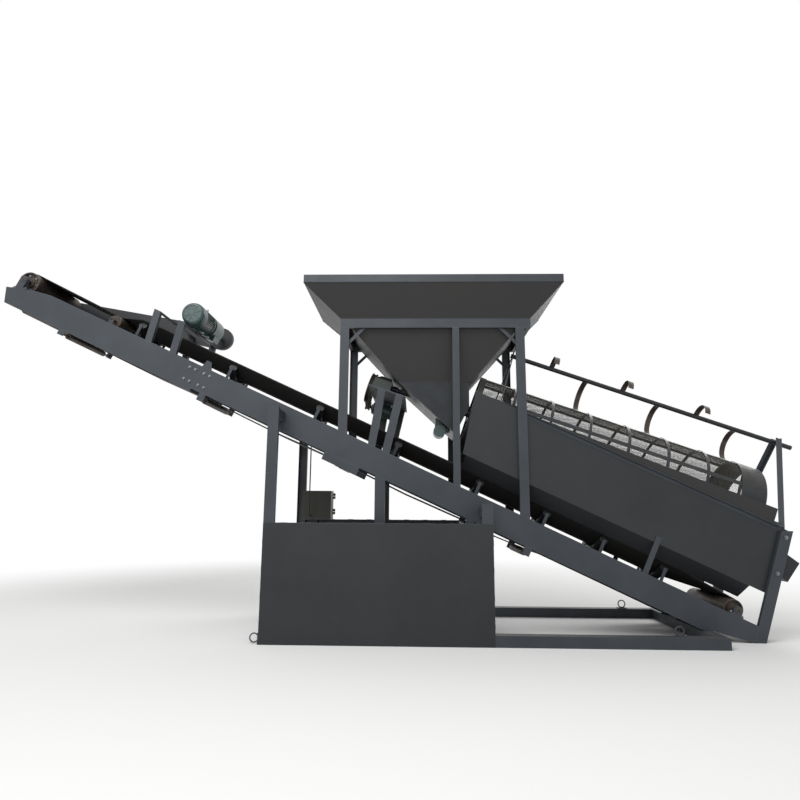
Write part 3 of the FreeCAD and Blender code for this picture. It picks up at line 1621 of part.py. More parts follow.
def strip_shape(station, kind):
    """A flat spring strip bent to an arc, on the pipe or down to the drum."""
    wall, width = S.strip_wall.value, S.strip_width.value
    n0 = pipe_n.value
    r = S.pipe_radius.value + 0.3
    if kind == "down":
        start = Vector(station, 0, n0 - r + 4)
        middle = Vector(station, 150, n0 - r - 150)
        end = Vector(station, 40, S.screen_radius.value + 8)
    else:
        start = Vector(station, 0, n0 + r)
        middle = Vector(station, -110, n0 + r + 70)
        end = Vector(station, -270, n0 - 10)
    arc = Part.Arc(start, middle, end)
    centre = arc.toShape().Curve.Center
    inner_points = []
    for point in (start, middle, end):
        outwards = (point - centre).normalize()
        inner_points.append(point + outwards * wall)
    outer = Part.Arc(*inner_points)
    wire = Part.Wire([
        arc.toShape(),
        Part.LineSegment(end, inner_points[2]).toShape(),
        Part.Arc(inner_points[2], inner_points[1], inner_points[0]).toShape(),
        Part.LineSegment(inner_points[0], start).toShape(),
    ])
    seat = Part.makeCylinder(r, 2 * width, Vector(station - width / 2, 0, n0), Vector(1, 0, 0))
    return Part.Face(wire).extrude(Vector(width, 0, 0)).cut(seat)


node(
    "cleaner_strips",
    [drawn(f"strip{number}", strip_shape(station, kind)) for number, (station, kind) in enumerate(STRIPS, 1)],
    SCREEN,
)


def a_frame(name, station):
    """Two flat legs from the housing plates up to the pipe."""
    top = pipe_n + S.pipe_radius + 30
    foot_x, foot_z = from_screen(station, 0)
    foot_s, foot_n = on_conveyor(foot_x, foot_z)
    drop = foot_n - S.housing_high
    foot = -drop / cos_of(S.conveyor_slope - S.screen_slope)
    foot_y = plate_y + 4
    half = as_size(20)
    leg = loft_piece(
        name,
        "YZ_Plane",
        [
            (
                place,
                [
                    (-foot_y, foot + S.seat_gap),
                    (-foot_y + 2 * half, foot + S.seat_gap),
                    (-S.pipe_radius - 0.3, pipe_n + 4),
                    (-S.pipe_radius - 0.3, top),
                    (-S.pipe_radius - 0.3 - half, top),
                ],
            )
            for place in (as_size(station), as_size(station) + 8)
        ],
    )
    return leg


FRAME_STATIONS = [("rear_frame", as_size(250)), ("front_frame", S.screen_length + 190)]
legs = [a_frame(name, station) for name, station in FRAME_STATIONS]
node("cleaner_frames", pair(legs), SCREEN)

# Screen drive: stand, gearbox, motor, pulleys and belt

gear_start = gear_end - S.gear_length
gear_low = as_size(-110)
gear_case = box("gear_case", (gear_start, -S.gear_width / 2, gear_low), (S.gear_length, S.gear_width, S.gear_height))
gear_cover = loft_piece(
    "gear_cover",
    "XY_Plane",
    [
        (
            gear_low + S.gear_height,
            [
                (gear_start, -S.gear_width / 2),
                (gear_end, -S.gear_width / 2),
                (gear_end, S.gear_width / 2),
                (gear_start, S.gear_width / 2),
            ],
        ),
        (
            gear_low + S.gear_height + 45,
            [
                (gear_start + 55, -S.gear_width / 2 + 60),
                (gear_end - 25, -S.gear_width / 2 + 60),
                (gear_end - 25, S.gear_width / 2 - 60),
                (gear_start + 55, S.gear_width / 2 - 60),
            ],
        ),
    ],
)
gear_body = fuse("gear_body", [gear_case, gear_cover])
output_bore = cylinder("output_bore", (shaft_start - 4, 0, 0), S.screen_shaft + S.running_gap, 100, "X")
input_y = as_size(80)
input_n = gear_low + 60
input_radius = as_size(18)
input_bore = cylinder(
    "input_bore",
    (gear_start - 1, input_y, input_n),
    input_radius + S.running_gap,
    61,
    "X",
)
gear_bored = cut("gear_bored", cut("gear_output", gear_body, output_bore), input_bore)
node("screen_gearbox", [gear_bored], SCREEN)

pulley_start = gear_start - S.pulley_gap - S.pulley_width
pulley_disc = cylinder("pulley_disc", (pulley_start, input_y, input_n), S.pulley_radius, S.pulley_width, "X")
pulley_groove = tube(
    "pulley_groove",
    (pulley_start + 8, input_y, input_n),
    S.pulley_radius + 1,
    S.pulley_radius - 22,
    S.pulley_width - 16,
    "X",
)
pulley_shaft = cylinder(
    "pulley_shaft",
    (pulley_start, input_y, input_n),
    input_radius,
    S.pulley_width + S.pulley_gap + 56,
    "X",
)
node(
    "gearbox_pulley",
    [fuse("gearbox_pulley_weld", [cut("pulley_rim", pulley_disc, pulley_groove), pulley_shaft])],
    SCREEN,
)

motor_y = S.screen_motor_y
deck_n = gear_low - S.deck_wall
screen_motor_n = deck_n - S.motor_foot
motor_start = pulley_start + S.pulley_width + S.pulley_gap
screen_motor_body = cylinder(
    "screen_motor_body", (motor_start, motor_y, screen_motor_n), S.screen_motor_radius, 330, "X"
)
motor_bore = cylinder(
    "motor_bore",
    (motor_start - 1, motor_y, screen_motor_n),
    input_radius + S.running_gap,
    61,
    "X",
)
screen_motor_box = box(
    "screen_motor_box",
    (motor_start + 110, motor_y - S.screen_motor_radius - 45, screen_motor_n - 45),
    (110, 75, 90),
)
screen_motor_feet = box(
    "screen_motor_feet",
    (motor_start + 60, motor_y - 75, screen_motor_n + 30),
    (200, 150, S.motor_foot - 30),
)
screen_motor_whole = fuse("screen_motor_whole", [screen_motor_body, screen_motor_box, screen_motor_feet])
node("screen_motor", [cut("screen_motor_bored", screen_motor_whole, motor_bore)], SCREEN)
small_disc = cylinder(
    "small_disc", (pulley_start, motor_y, screen_motor_n), S.motor_pulley_radius, S.pulley_width, "X"
)
small_groove = tube(
    "small_groove",
    (pulley_start + 8, motor_y, screen_motor_n),
    S.motor_pulley_radius + 1,
    S.motor_pulley_radius - 22,
    S.pulley_width - 16,
    "X",
)
small_shaft = cylinder(
    "small_shaft",
    (pulley_start, motor_y, screen_motor_n),
    input_radius,
    S.pulley_width + S.pulley_gap + 56,
    "X",
)
node(
    "motor_pulley",
    [fuse("motor_pulley_weld", [cut("small_rim", small_disc, small_groove), small_shaft])],
    SCREEN,
)


def v_belt():
    """The drive belt round both pulleys, clear of their grooves."""
    clear = S.seat_gap.value
    thick = 12
    big = S.pulley_radius.value - 22 + clear
    small = S.motor_pulley_radius.value - 22 + clear
    width = S.pulley_width.value - 16 - 2 * clear
    x = pulley_start.value + 8 + clear
    a = Vector(x, input_y.value, input_n.value)
    b = Vector(x, motor_y.value, screen_motor_n.value)
    distance = (b - a).Length
    along = (b - a).normalize()
    across = Vector(0, -along.z, along.y)
    lean = math.asin((big - small) / distance)

    def loop(extra):
        ends = []
        for sign in (1, -1):
            direction = across * (sign * math.cos(lean)) + along * math.sin(lean)
            ends.append((a + direction * (big + extra), b + direction * (small + extra)))
        (a_up, b_up), (a_down, b_down) = ends
        return Part.Face(Part.Wire([
            Part.LineSegment(a_up, b_up).toShape(),
            Part.Arc(b_up, b + along * (small + extra), b_down).toShape(),
            Part.LineSegment(b_down, a_down).toShape(),
            Part.Arc(a_down, a - along * (big + extra), a_up).toShape(),
        ]))

    ring = loop(thick).cut(loop(0))
    return ring.extrude(Vector(width, 0, 0))


node("screen_drive_belt", [drawn("v_belt", v_belt())], SCREEN)

# Stand of the screen drive on the beams: name, foot x, top x
DRIVE_LEGS = [("rear", as_size(-253), as_size(-160)), ("front", as_size(-112), as_size(20))]
deck_rear_x, deck_rear_z = from_screen(gear_start, deck_n)
deck_slope = SCREEN_SIN / SCREEN_COS
stand_legs = []


def deck_at(x):
    """Height of the deck's underside at x."""
    return deck_rear_z - (as_size(x) - deck_rear_x) * deck_slope


for name, foot_x, top_x in DRIVE_LEGS:
    half = as_size(36)
    stand_legs.append(
        outline_plate(
            "screen_leg_" + name,
            "XZ_Plane",
            [
                (foot_x - half, beam_top(foot_x - half)),
                (foot_x + half, beam_top(foot_x + half)),
                (top_x + half, deck_at(top_x + half)),
                (top_x - half, deck_at(top_x - half)),
            ],
            plate_y,
            S.column_depth,
        )
    )
node("screen_drive_stand", pair(stand_legs))
deck = box(
    "drive_deck",
    (gear_start, -S.beam_offset, deck_n),
    (S.deck_length, 2 * S.beam_offset, S.deck_wall),
)
node("screen_drive_deck", [deck], SCREEN)

doc.recompute()

# Checks and export

problems = []
for item in doc.Objects:
    if "Invalid" in item.State or "Error" in item.State:
        problems.append(f"{item.Name}: {item.State}")
for group in NODES:
    if group.Shape.isNull() or not group.Shape.isValid() or not group.Shape.Solids:
        problems.append(f"{group.Label}: bad shape")
if problems:
    raise RuntimeError("; ".join(problems))

os.makedirs("parts", exist_ok=True)
for group in NODES:
    group.Shape.exportStep(f"parts/{group.Label}.step")
    bound = group.Shape.BoundBox
    print(
        f"{group.Label}: {len(group.Shape.Solids)} solids,"
        f" x {bound.XMin:.0f}..{bound.XMax:.0f} y {bound.YMin:.0f}..{bound.YMax:.0f}"
        f" z {bound.ZMin:.0f}..{bound.ZMax:.0f}"
    )
print(f"{len(NODES)} nodes")
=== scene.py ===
"""Studio scene of a skid-mounted sand screening machine.

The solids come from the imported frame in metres: +X towards the conveyor's tail, -Y the operator's
side, +Z up. This file gives each solid its finish and adds what is too fine for a solid: welded
wire, cooling ribs, bolts, weld beads, flanges and a latch.
"""

import logging
import math
from dataclasses import dataclass, field
from enum import Enum
from typing import Iterable, Optional, Sequence

import bmesh
import bpy
from mathutils import Matrix, Vector


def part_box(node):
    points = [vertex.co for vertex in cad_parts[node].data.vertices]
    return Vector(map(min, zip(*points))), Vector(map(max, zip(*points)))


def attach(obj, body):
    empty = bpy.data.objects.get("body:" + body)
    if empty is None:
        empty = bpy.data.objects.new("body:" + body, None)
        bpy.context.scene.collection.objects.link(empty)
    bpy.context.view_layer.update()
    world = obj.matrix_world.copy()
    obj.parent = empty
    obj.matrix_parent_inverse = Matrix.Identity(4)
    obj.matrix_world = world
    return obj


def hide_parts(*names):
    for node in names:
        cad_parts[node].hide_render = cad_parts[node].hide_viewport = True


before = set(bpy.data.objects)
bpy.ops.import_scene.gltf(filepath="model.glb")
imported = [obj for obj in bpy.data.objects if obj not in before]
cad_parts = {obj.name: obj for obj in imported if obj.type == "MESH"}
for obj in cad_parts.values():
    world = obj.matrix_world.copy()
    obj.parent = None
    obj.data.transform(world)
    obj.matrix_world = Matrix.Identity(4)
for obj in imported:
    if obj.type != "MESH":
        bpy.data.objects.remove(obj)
LOG = logging.getLogger("sand_screening_machine")
MM = 0.001

Colour = tuple[float, float, float, float]
WHITE: Colour = (1.0, 1.0, 1.0, 1.0)
Point = tuple[float, float, float]


class Body(Enum):
    """The bodies that the added pieces ride on."""

    MACHINE = "machine"
    SCREEN = "screen"
    DOOR = "door"


def linear(hex_colour: str) -> Colour:
    """Turn an sRGB hex colour into linear light.

    Args:
        hex_colour: Six hex digits after a hash.

    Returns:
        Linear red, green, blue and an alpha of one.
    """
    channels = [int(hex_colour[place:place + 2], 16) / 255 for place in (1, 3, 5)]
    light = [c / 12.92 if c <= 0.04045 else ((c + 0.055) / 1.055) ** 2.4 for c in channels]
    return (light[0], light[1], light[2], 1.0)


def add_node(
    tree: bpy.types.NodeTree,
    kind: str,
    settings: Optional[dict[str, object]] = None,
    links: Optional[dict[object, bpy.types.NodeSocket]] = None,
    values: Optional[dict[object, object]] = None,
) -> bpy.types.Node:
    """Add one node with its settings, plain socket values and incoming links.

    Args:
        tree: Node tree that takes the node.
        kind: Blender's name of the node type.
        settings: Attributes of the node itself.
        links: Input socket name or index to the output socket that feeds it.
        values: Input socket name or index to a plain value.

    Returns:
        The new node.
    """
    node = tree.nodes.new(kind)
    for name, value in (settings or {}).items():
        setattr(node, name, value)
    for socket, value in (values or {}).items():
        node.inputs[socket].default_value = value
    for socket, source in (links or {}).items():
        tree.links.new(source, node.inputs[socket])
    return node


def blank_material(name: str) -> tuple[bpy.types.Material, bpy.types.NodeTree]:
    """Make an empty node material.

    Args:
        name: The material's name.

    Returns:
        The material and its node tree with every node removed.
    """
    material = bpy.data.materials.new(name)
    material.use_nodes = True
    material.node_tree.nodes.clear()
    return material, material.node_tree


@dataclass(frozen=True)
class PatchySurface:
    """Colour that wanders between two tones, with settled dust and spots of rust.

    Every finish here is one of these, because the whole machine has stood in a sand pit.
    """

    name: str
    tone: str
    second_tone: str
    dust: str = "#8f877a"
    rust: str = "#5d4334"
    edge: str = "#7d8286"
    roughness: float = 0.55
    metallic: float = 0.0
    patch_mm: float = 420.0
    grain_mm: float = 5.0
    dust_amount: float = 0.35
    rust_amount: float = 0.25
    edge_amount: float = 0.5
    bump_mm: float = 0.25
    coat: float = 0.0

    def material(self) -> bpy.types.Material:
        """Build the finish.

        Returns:
            The node material.
        """
        material, tree = blank_material(self.name)
        place = add_node(tree, "ShaderNodeTexCoord").outputs["Object"]
        patches = add_node(
            tree,
            "ShaderNodeTexNoise",
            links={"Vector": place},
            values={"Scale": 1000 / self.patch_mm, "Detail": 6.0, "Roughness": 0.62},
        )
        patch_mask = add_node(
            tree,
            "ShaderNodeMapRange",
            links={"Value": patches.outputs["Fac"]},
            values={"From Min": 0.35, "From Max": 0.65},
        )
        tones = add_node(
            tree,
            "ShaderNodeMix",
            {"data_type": "RGBA"},
            {0: patch_mask.outputs["Result"]},
            {6: linear(self.tone), 7: linear(self.second_tone)},
        )
        colour = self._with_edges(tree, tones.outputs[2])
        colour = self._with_rust(tree, place, colour)
        colour = self._with_dust(tree, place, colour)
        grain = add_node(
            tree,
            "ShaderNodeTexNoise",
            links={"Vector": place},
            values={"Scale": 1000 / self.grain_mm, "Detail": 3.0},
        )
        bump = add_node(
            tree,
            "ShaderNodeBump",
            links={"Height": grain.outputs["Fac"]},
            values={"Strength": 0.5, "Distance": self.bump_mm * MM},
        )
        rough = add_node(
            tree,
            "ShaderNodeMapRange",
            links={"Value": patches.outputs["Fac"]},
            values={"To Min": self.roughness - 0.12, "To Max": self.roughness + 0.14},
        )
        shader = add_node(
            tree,
            "ShaderNodeBsdfPrincipled",
            links={
                "Base Color": colour,
                "Roughness": rough.outputs["Result"],
                "Normal": bump.outputs["Normal"],
            },
            values={"Metallic": self.metallic, "Coat Weight": self.coat, "Coat Roughness": 0.3},
        )
        add_node(tree, "ShaderNodeOutputMaterial", links={"Surface": shader.outputs[0]})
        return material

    def _with_edges(
        self, tree: bpy.types.NodeTree, colour: bpy.types.NodeSocket
    ) -> bpy.types.NodeSocket:
        """Lighten the last few millimetres before an edge: where handling has rubbed the surface,
        and as a painted highlight where the edge colour is a pale tint of the paint.

        Args:
            tree: Node tree that is being built.
            colour: Colour so far.

        Returns:
            The colour with worn edges and painted edge highlights.
        """
        rounded = add_node(tree, "ShaderNodeBevel", {"samples": 4}, values={"Radius": 5 * MM})
        flat = add_node(tree, "ShaderNodeNewGeometry")
        turn = add_node(
            tree,
            "ShaderNodeVectorMath",
            {"operation": "DOT_PRODUCT"},
            {0: rounded.outputs["Normal"], 1: flat.outputs["Normal"]},
        )
        mask = add_node(
            tree,
            "ShaderNodeMapRange",
            links={"Value": turn.outputs["Value"]},
            values={"From Min": 0.985, "From Max": 0.88, "To Max": self.edge_amount},
        )
        worn_and_highlit_edge = add_node(
            tree,
            "ShaderNodeMix",
            {"data_type": "RGBA"},
            {0: mask.outputs["Result"], 6: colour},
            {7: linear(self.edge)},
        )
        return worn_and_highlit_edge.outputs[2]

    def _with_rust(
        self, tree: bpy.types.NodeTree, place: bpy.types.NodeSocket, colour: bpy.types.NodeSocket
    ) -> bpy.types.NodeSocket:
        """Add spots of rust that run a little downwards.

        Args:
            tree: Node tree that is being built.
            place: Coordinates in metres.
            colour: Colour so far.

        Returns:
            The colour with rust.
        """
        stretch = add_node(
            tree, "ShaderNodeMapping", links={"Vector": place}, values={"Scale": (1.0, 1.0, 0.4)}
        )
        spots = add_node(
            tree,
            "ShaderNodeTexNoise",
            links={"Vector": stretch.outputs["Vector"]},
            values={"Scale": 1000 / 70.0, "Detail": 8.0, "Roughness": 0.7},
        )
        mask = add_node(
            tree,
            "ShaderNodeMapRange",
            links={"Value": spots.outputs["Fac"]},
            values={
                "From Min": 0.72 - 0.22 * self.rust_amount,
                "From Max": 0.80,
                "To Max": min(1.0, self.rust_amount * 2),
            },
        )
        rusty = add_node(
            tree,
            "ShaderNodeMix",
            {"data_type": "RGBA"},
            {0: mask.outputs["Result"], 6: colour},
            {7: linear(self.rust)},
        )
        return rusty.outputs[2]

    def _with_dust(
        self, tree: bpy.types.NodeTree, place: bpy.types.NodeSocket, colour: bpy.types.NodeSocket
    ) -> bpy.types.NodeSocket:
        """Let pale dust settle on faces that look up.

        Args:
            tree: Node tree that is being built.
            place: Coordinates in metres.
            colour: Colour so far.

        Returns:
            The colour with dust.
        """
        facing = add_node(tree, "ShaderNodeNewGeometry")
        parts = add_node(tree, "ShaderNodeSeparateXYZ", links={0: facing.outputs["Normal"]})
        upward = add_node(
            tree,
            "ShaderNodeMapRange",
            links={"Value": parts.outputs["Z"]},
            values={"From Min": 0.15, "From Max": 0.95, "To Max": self.dust_amount},
        )
        cloud = add_node(
            tree,
            "ShaderNodeTexNoise",
            links={"Vector": place},
            values={"Scale": 1000 / 160.0, "Detail": 5.0},
        )
        settled = add_node(
            tree,
            "ShaderNodeMath",
            {"operation": "MULTIPLY"},
            {0: upward.outputs["Result"], 1: cloud.outputs["Fac"]},
        )
        dusty = add_node(
            tree,
            "ShaderNodeMix",
            {"data_type": "RGBA"},
            {0: settled.outputs[0], 6: colour},
            {7: linear(self.dust)},
        )
        return dusty.outputs[2]


# Charcoal enamel sprayed over mill scale: dull and a little blue, with paler rubbed edges.
FRAME_ENAMEL = PatchySurface(
    "sprayed_charcoal_enamel", "#343a41", "#2b3036", roughness=0.5, edge="#5d646b",
    dust_amount=0.28,
)
# The same enamel on large plates: darker, in wider patches.
PLATE_ENAMEL = PatchySurface(
    "sprayed_plate_enamel", "#1d2024", "#15181b", roughness=0.5, patch_mm=700, edge="#4a5056",
    dust_amount=0.22,
)
# Enamel on the hopper's plates: near black, browned a little by wet sand.
HOPPER_ENAMEL = PatchySurface(
    "hopper_plate_enamel", "#18191b", "#1f1d1c", roughness=0.48, patch_mm=600, edge="#43474b",
    dust_amount=0.25,
)
# Olive enamel on a pressed sheet cabinet: flat, a touch yellow.
CABINET_ENAMEL = PatchySurface(
    "cabinet_olive_enamel", "#26271f", "#2f3028", roughness=0.5, rust_amount=0.1
)
# Machine green on cast iron: glossy under a film of grease and dust. Its pale green edge colour is
# a painted highlight along every edge.
MACHINE_GREEN = PatchySurface(
    "machine_green_enamel", "#2b4745", "#223937", roughness=0.36, grain_mm=3, patch_mm=120,
    # The pale green edge colour paints highlights on the edges; it is not wear.
    coat=0.3, edge="#8fa49b",
)
# Dark green enamel on the gearbox's casting, under an oily film.
DARK_GREEN = PatchySurface(
    "gearbox_dark_green_enamel", "#14211f", "#1a2a26", roughness=0.38, grain_mm=3, coat=0.25
)
# Rolled steel that has rusted and been polished again by sand: brown, with bright rubbed patches.
RUBBED_STEEL = PatchySurface(
    "rolled_steel_rusted", "#4a3f38", "#332d2a", metallic=0.35, roughness=0.5, patch_mm=90,
    rust_amount=0.8, edge="#9a9590", edge_amount=0.6,
)
# Steel sheet scoured by stones: grey and half bright.
SCOURED_STEEL = PatchySurface(
    "scoured_steel_sheet", "#2f3236", "#25282b", metallic=0.5, roughness=0.38, patch_mm=150,
    rust_amount=0.15,
)
# Drawn spring-steel wire, dull grey with brown crossings.
SCREEN_WIRE = PatchySurface(
    "drawn_spring_wire", "#3d3d38", "#2e2d29", metallic=0.5, roughness=0.48, patch_mm=160,
    rust_amount=0.3, edge_amount=0.0, dust_amount=0.5,
)
# Zinc-plated bolts: paler and brighter than the enamel.
ZINC_PLATE = PatchySurface(
    "zinc_plated_steel", "#8a8d8f", "#777a7c", metallic=0.8, roughness=0.35, patch_mm=40,
    rust_amount=0.3,
)
# Ply rubber belting, calendered and dusty with dry sand.
PLY_RUBBER = PatchySurface(
    "calendered_ply_rubber", "#111111", "#181716", dust="#8c8272", roughness=0.72, patch_mm=260,
    grain_mm=4, rust_amount=0.0, edge_amount=0.15, edge="#4a4744", dust_amount=0.55,
)
# Extruded rubber sheath of the supply cable: black, even and dull.
CABLE_RUBBER = PatchySurface(
    "extruded_cable_rubber", "#191a1b", "#202122", roughness=0.6, patch_mm=60, rust_amount=0.0,
    edge_amount=0.0,
)

# A bolt's proportions, as shares of its thread diameter.
WASHER_RADIUS, WASHER_HEIGHT = 1.1, 0.16
HEAD_RADIUS, HEAD_HEIGHT = 0.9, 0.62
THREAD_RADIUS, THREAD_TIP_RADIUS, THREAD_HEIGHT = 0.5, 0.48, 0.3
# A weld bead's ripples, and the slower drift of its width: share of the radius, radians a step.
RIPPLE_SWELL, RIPPLE_PHASE = 0.22, 2.4
DRIFT_SWELL, DRIFT_PHASE = 0.1, 0.7
RIPPLE_LENGTH = 9 * MM
FEWEST_RIPPLES, MOST_RIPPLES = 4, 120
BEAD_SIDES = 6
SMOOTH_ANGLE_DEG = 40


class MeshMaker:
    """Gathers boxes, bars and turned forms into one mesh."""

    def __init__(self) -> None:
        """Start an empty mesh."""
        self.mesh = bmesh.new()

    def prism(self, outline: Sequence[Vector], depth: Vector) -> None:
        """Add a prism.

        Args:
            outline: Corners of one end face, in order.
            depth: Way from that face to the other.
        """
        near = [self.mesh.verts.new(corner) for corner in outline]
        far = [self.mesh.verts.new(corner + depth) for corner in outline]
        self.mesh.faces.new(near)
        self.mesh.faces.new(list(reversed(far)))
        count = len(near)
        for index in range(count):
            follow = (index + 1) % count
            self.mesh.faces.new((near[follow], near[index], far[index], far[follow]))

    def rings(self, loops: Sequence[Sequence[Vector]], closed: bool = False) -> None:
        """Skin a row of loops with equal counts of points.

        Args:
            loops: The loops, in order.
            closed: Whether the last loop joins the first. If not, both ends are filled.
        """
        rows = [[self.mesh.verts.new(point) for point in loop] for loop in loops]
        count = len(rows[0])
        pairs = list(zip(rows, rows[1:]))
        if closed:
            pairs.append((rows[-1], rows[0]))
        for low, high in pairs:
            for index in range(count):
                follow = (index + 1) % count
                self.mesh.faces.new((low[index], low[follow], high[follow], high[index]))
        if not closed:
            self.mesh.faces.new(list(reversed(rows[0])))
            self.mesh.faces.new(rows[-1])

    def turned(
        self, start: Vector, axis: Vector, profile: Sequence[tuple[float, float]], sides: int
    ) -> None:
        """Add a turned form.

        Args:
            start: Point on the axis that the profile counts from.
            axis: Direction of the axis.
            profile: Pairs of distance along the axis and radius.
            sides: Points round the axis.
        """
        axis = axis.normalized()
        side = axis.orthogonal().normalized()
        other = axis.cross(side)
        loops = []
        for distance, radius in profile:
            centre = start + axis * distance
            loops.append([
                centre + (side * math.cos(turn) + other * math.sin(turn)) * radius
                for turn in (math.tau * step / sides for step in range(sides))
            ])
        self.rings(loops)

    def bead(self, start: Vector, end: Vector, radius: float) -> None:
        """Add a weld bead with its ripples.

        Args:
            start: First end.
            end: Last end.
            radius: Mean radius of the bead.
        """
        length = (end - start).length
        steps = min(MOST_RIPPLES, max(FEWEST_RIPPLES, int(length / RIPPLE_LENGTH)))
        profile = []
        for step in range(steps + 1):
            ripple = RIPPLE_SWELL * math.sin(step * RIPPLE_PHASE)
            drift = DRIFT_SWELL * math.sin(step * DRIFT_PHASE)
            profile.append((length * step / steps, radius * (1.0 + ripple + drift)))
        self.turned(start, end - start, profile, BEAD_SIDES)

    def hex_bolt(self, seat: Vector, axis: Vector, size: float) -> None:
        """Add a hexagon head with its washer and the thread's end.

        Args:
            seat: Point on the face under the washer.
            axis: Direction away from that face.
            size: Thread diameter.
        """
        axis = axis.normalized()
        washer = size * WASHER_RADIUS
        self.turned(seat, axis, [(0, washer), (size * WASHER_HEIGHT, washer)], 16)
        side = axis.orthogonal().normalized()
        other = axis.cross(side)
        low = seat + axis * size * WASHER_HEIGHT
        ring = [
            low + (side * math.cos(turn) + other * math.sin(turn)) * size * HEAD_RADIUS
            for turn in (math.tau * step / 6 for step in range(6))
        ]
        self.prism(ring, axis * size * HEAD_HEIGHT)
        thread = [(0, size * THREAD_RADIUS), (size * THREAD_HEIGHT, size * THREAD_TIP_RADIUS)]
        self.turned(low + axis * size * HEAD_HEIGHT, axis, thread, 10)

    def finish(
        self, name: str, material: bpy.types.Material, body: Body, smooth: bool = False
    ) -> bpy.types.Object:
        """Turn what was gathered into a piece.

        Args:
            name: The piece's name.
            material: Its finish.
            body: The body that it rides on.
            smooth: Whether its faces are shaded smooth, up to SMOOTH_ANGLE_DEG.

        Returns:
            The new object.
        """
        bmesh.ops.recalc_face_normals(self.mesh, faces=self.mesh.faces)
        data = bpy.data.meshes.new(name)
        self.mesh.to_mesh(data)
        self.mesh.free()
        data.materials.append(material)
        if smooth:
            data.shade_smooth()
            data.set_sharp_from_angle(angle=math.radians(SMOOTH_ANGLE_DEG))
        piece = bpy.data.objects.new(name, data)
        bpy.context.scene.collection.objects.link(piece)
        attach(piece, body.value)
        return piece


@dataclass(frozen=True)
class Incline:
    """A frame of its own for what lies on a slope: along it, across it and square above it."""

    origin: Point
    slope_deg: float

    def axes(self) -> tuple[Vector, Vector, Vector]:
        """Give the frame's directions.

        Returns:
            The directions along, across and above.
        """
        slope = math.radians(self.slope_deg)
        along = Vector((math.cos(slope), 0.0, -math.sin(slope)))
        above = Vector((math.sin(slope), 0.0, math.cos(slope)))
        return along, Vector((0.0, 1.0, 0.0)), above

    def at(self, along: float, across: float, above: float) -> Vector:
        """Place a point given in millimetres.

        Args:
            along: Down the slope.
            across: Towards the far side.
            above: Square to the slope.

        Returns:
            The point in metres.
        """
        first, second, third = self.axes()
        return Vector(self.origin) + (first * along + second * across + third * above) * MM


CONVEYOR = Incline((0.0, 0.0, 1.691), 24.71)
SCREEN = Incline((0.745, 0.0, 2.188), 18.95)


def dress(material: bpy.types.Material, nodes: Iterable[str]) -> None:
    """Give solids of the frame a finish.

    Args:
        material: The finish.
        nodes: Names of the solids.
    """
    for name in nodes:
        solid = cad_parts[name]
        solid.data.materials.clear()
        solid.data.materials.append(material)


@dataclass
class WireScreen:
    """The drum's screen cloth: long wires with hoop wires welded over them."""

    radius_mm: float = 415.8
    start_mm: float = 60.0
    end_mm: float = 2730.0
    pitch_mm: float = 13.0
    wire_mm: float = 3.2
    layer_share: float = 0.4
    hoop_points: int = 96

    def _wire(self, mesh: MeshMaker, points: Sequence[Vector], closed: bool) -> None:
        """Add one wire of square section, standing on its edge.

        Args:
            mesh: Mesh that takes it.
            points: Its centre line.
            closed: Whether it is a hoop.
        """
        along = SCREEN.axes()[0]
        half = self.wire_mm * MM / 2
        origin = Vector(SCREEN.origin)
        count = len(points)
        loops = []
        for index, point in enumerate(points):
            before = points[index - 1] if index or closed else point
            after = points[(index + 1) % count] if index + 1 < count or closed else point
            run = (after - before).normalized()
            spoke = point - origin
            out = (spoke - along * spoke.dot(along)).normalized()
            side = run.cross(out).normalized()
            wide, high = side * half, out * half
            loops.append([point + wide, point + high, point - wide, point - high])
        mesh.rings(loops, closed)

    def build(self) -> bpy.types.Object:
        """Lay the long wires inside the hoop wires and hang the screen on its body.

        Returns:
            The wire screen.
        """
        mesh = MeshMaker()
        around = int(math.tau * self.radius_mm / self.pitch_mm)
        inner = self.radius_mm - self.wire_mm * self.layer_share
        outer = self.radius_mm + self.wire_mm * self.layer_share
        for number in range(around):
            turn = math.tau * number / around
            across, above = inner * math.sin(turn), inner * math.cos(turn)
            ends = [SCREEN.at(end, across, above) for end in (self.start_mm, self.end_mm)]
            self._wire(mesh, ends, False)
        length = self.end_mm - self.start_mm
        rows = int(length / self.pitch_mm)
        turns = [math.tau * step / self.hoop_points for step in range(self.hoop_points)]
        circle = [(outer * math.sin(turn), outer * math.cos(turn)) for turn in turns]
        for row in range(1, rows):
            station = self.start_mm + length * row / rows
            hoop = [SCREEN.at(station, across, above) for across, above in circle]
            self._wire(mesh, hoop, True)
        piece = mesh.finish("welded_wire_screen", SCREEN_WIRE.material(), Body.SCREEN)
        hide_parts("screen_mesh")
        return piece


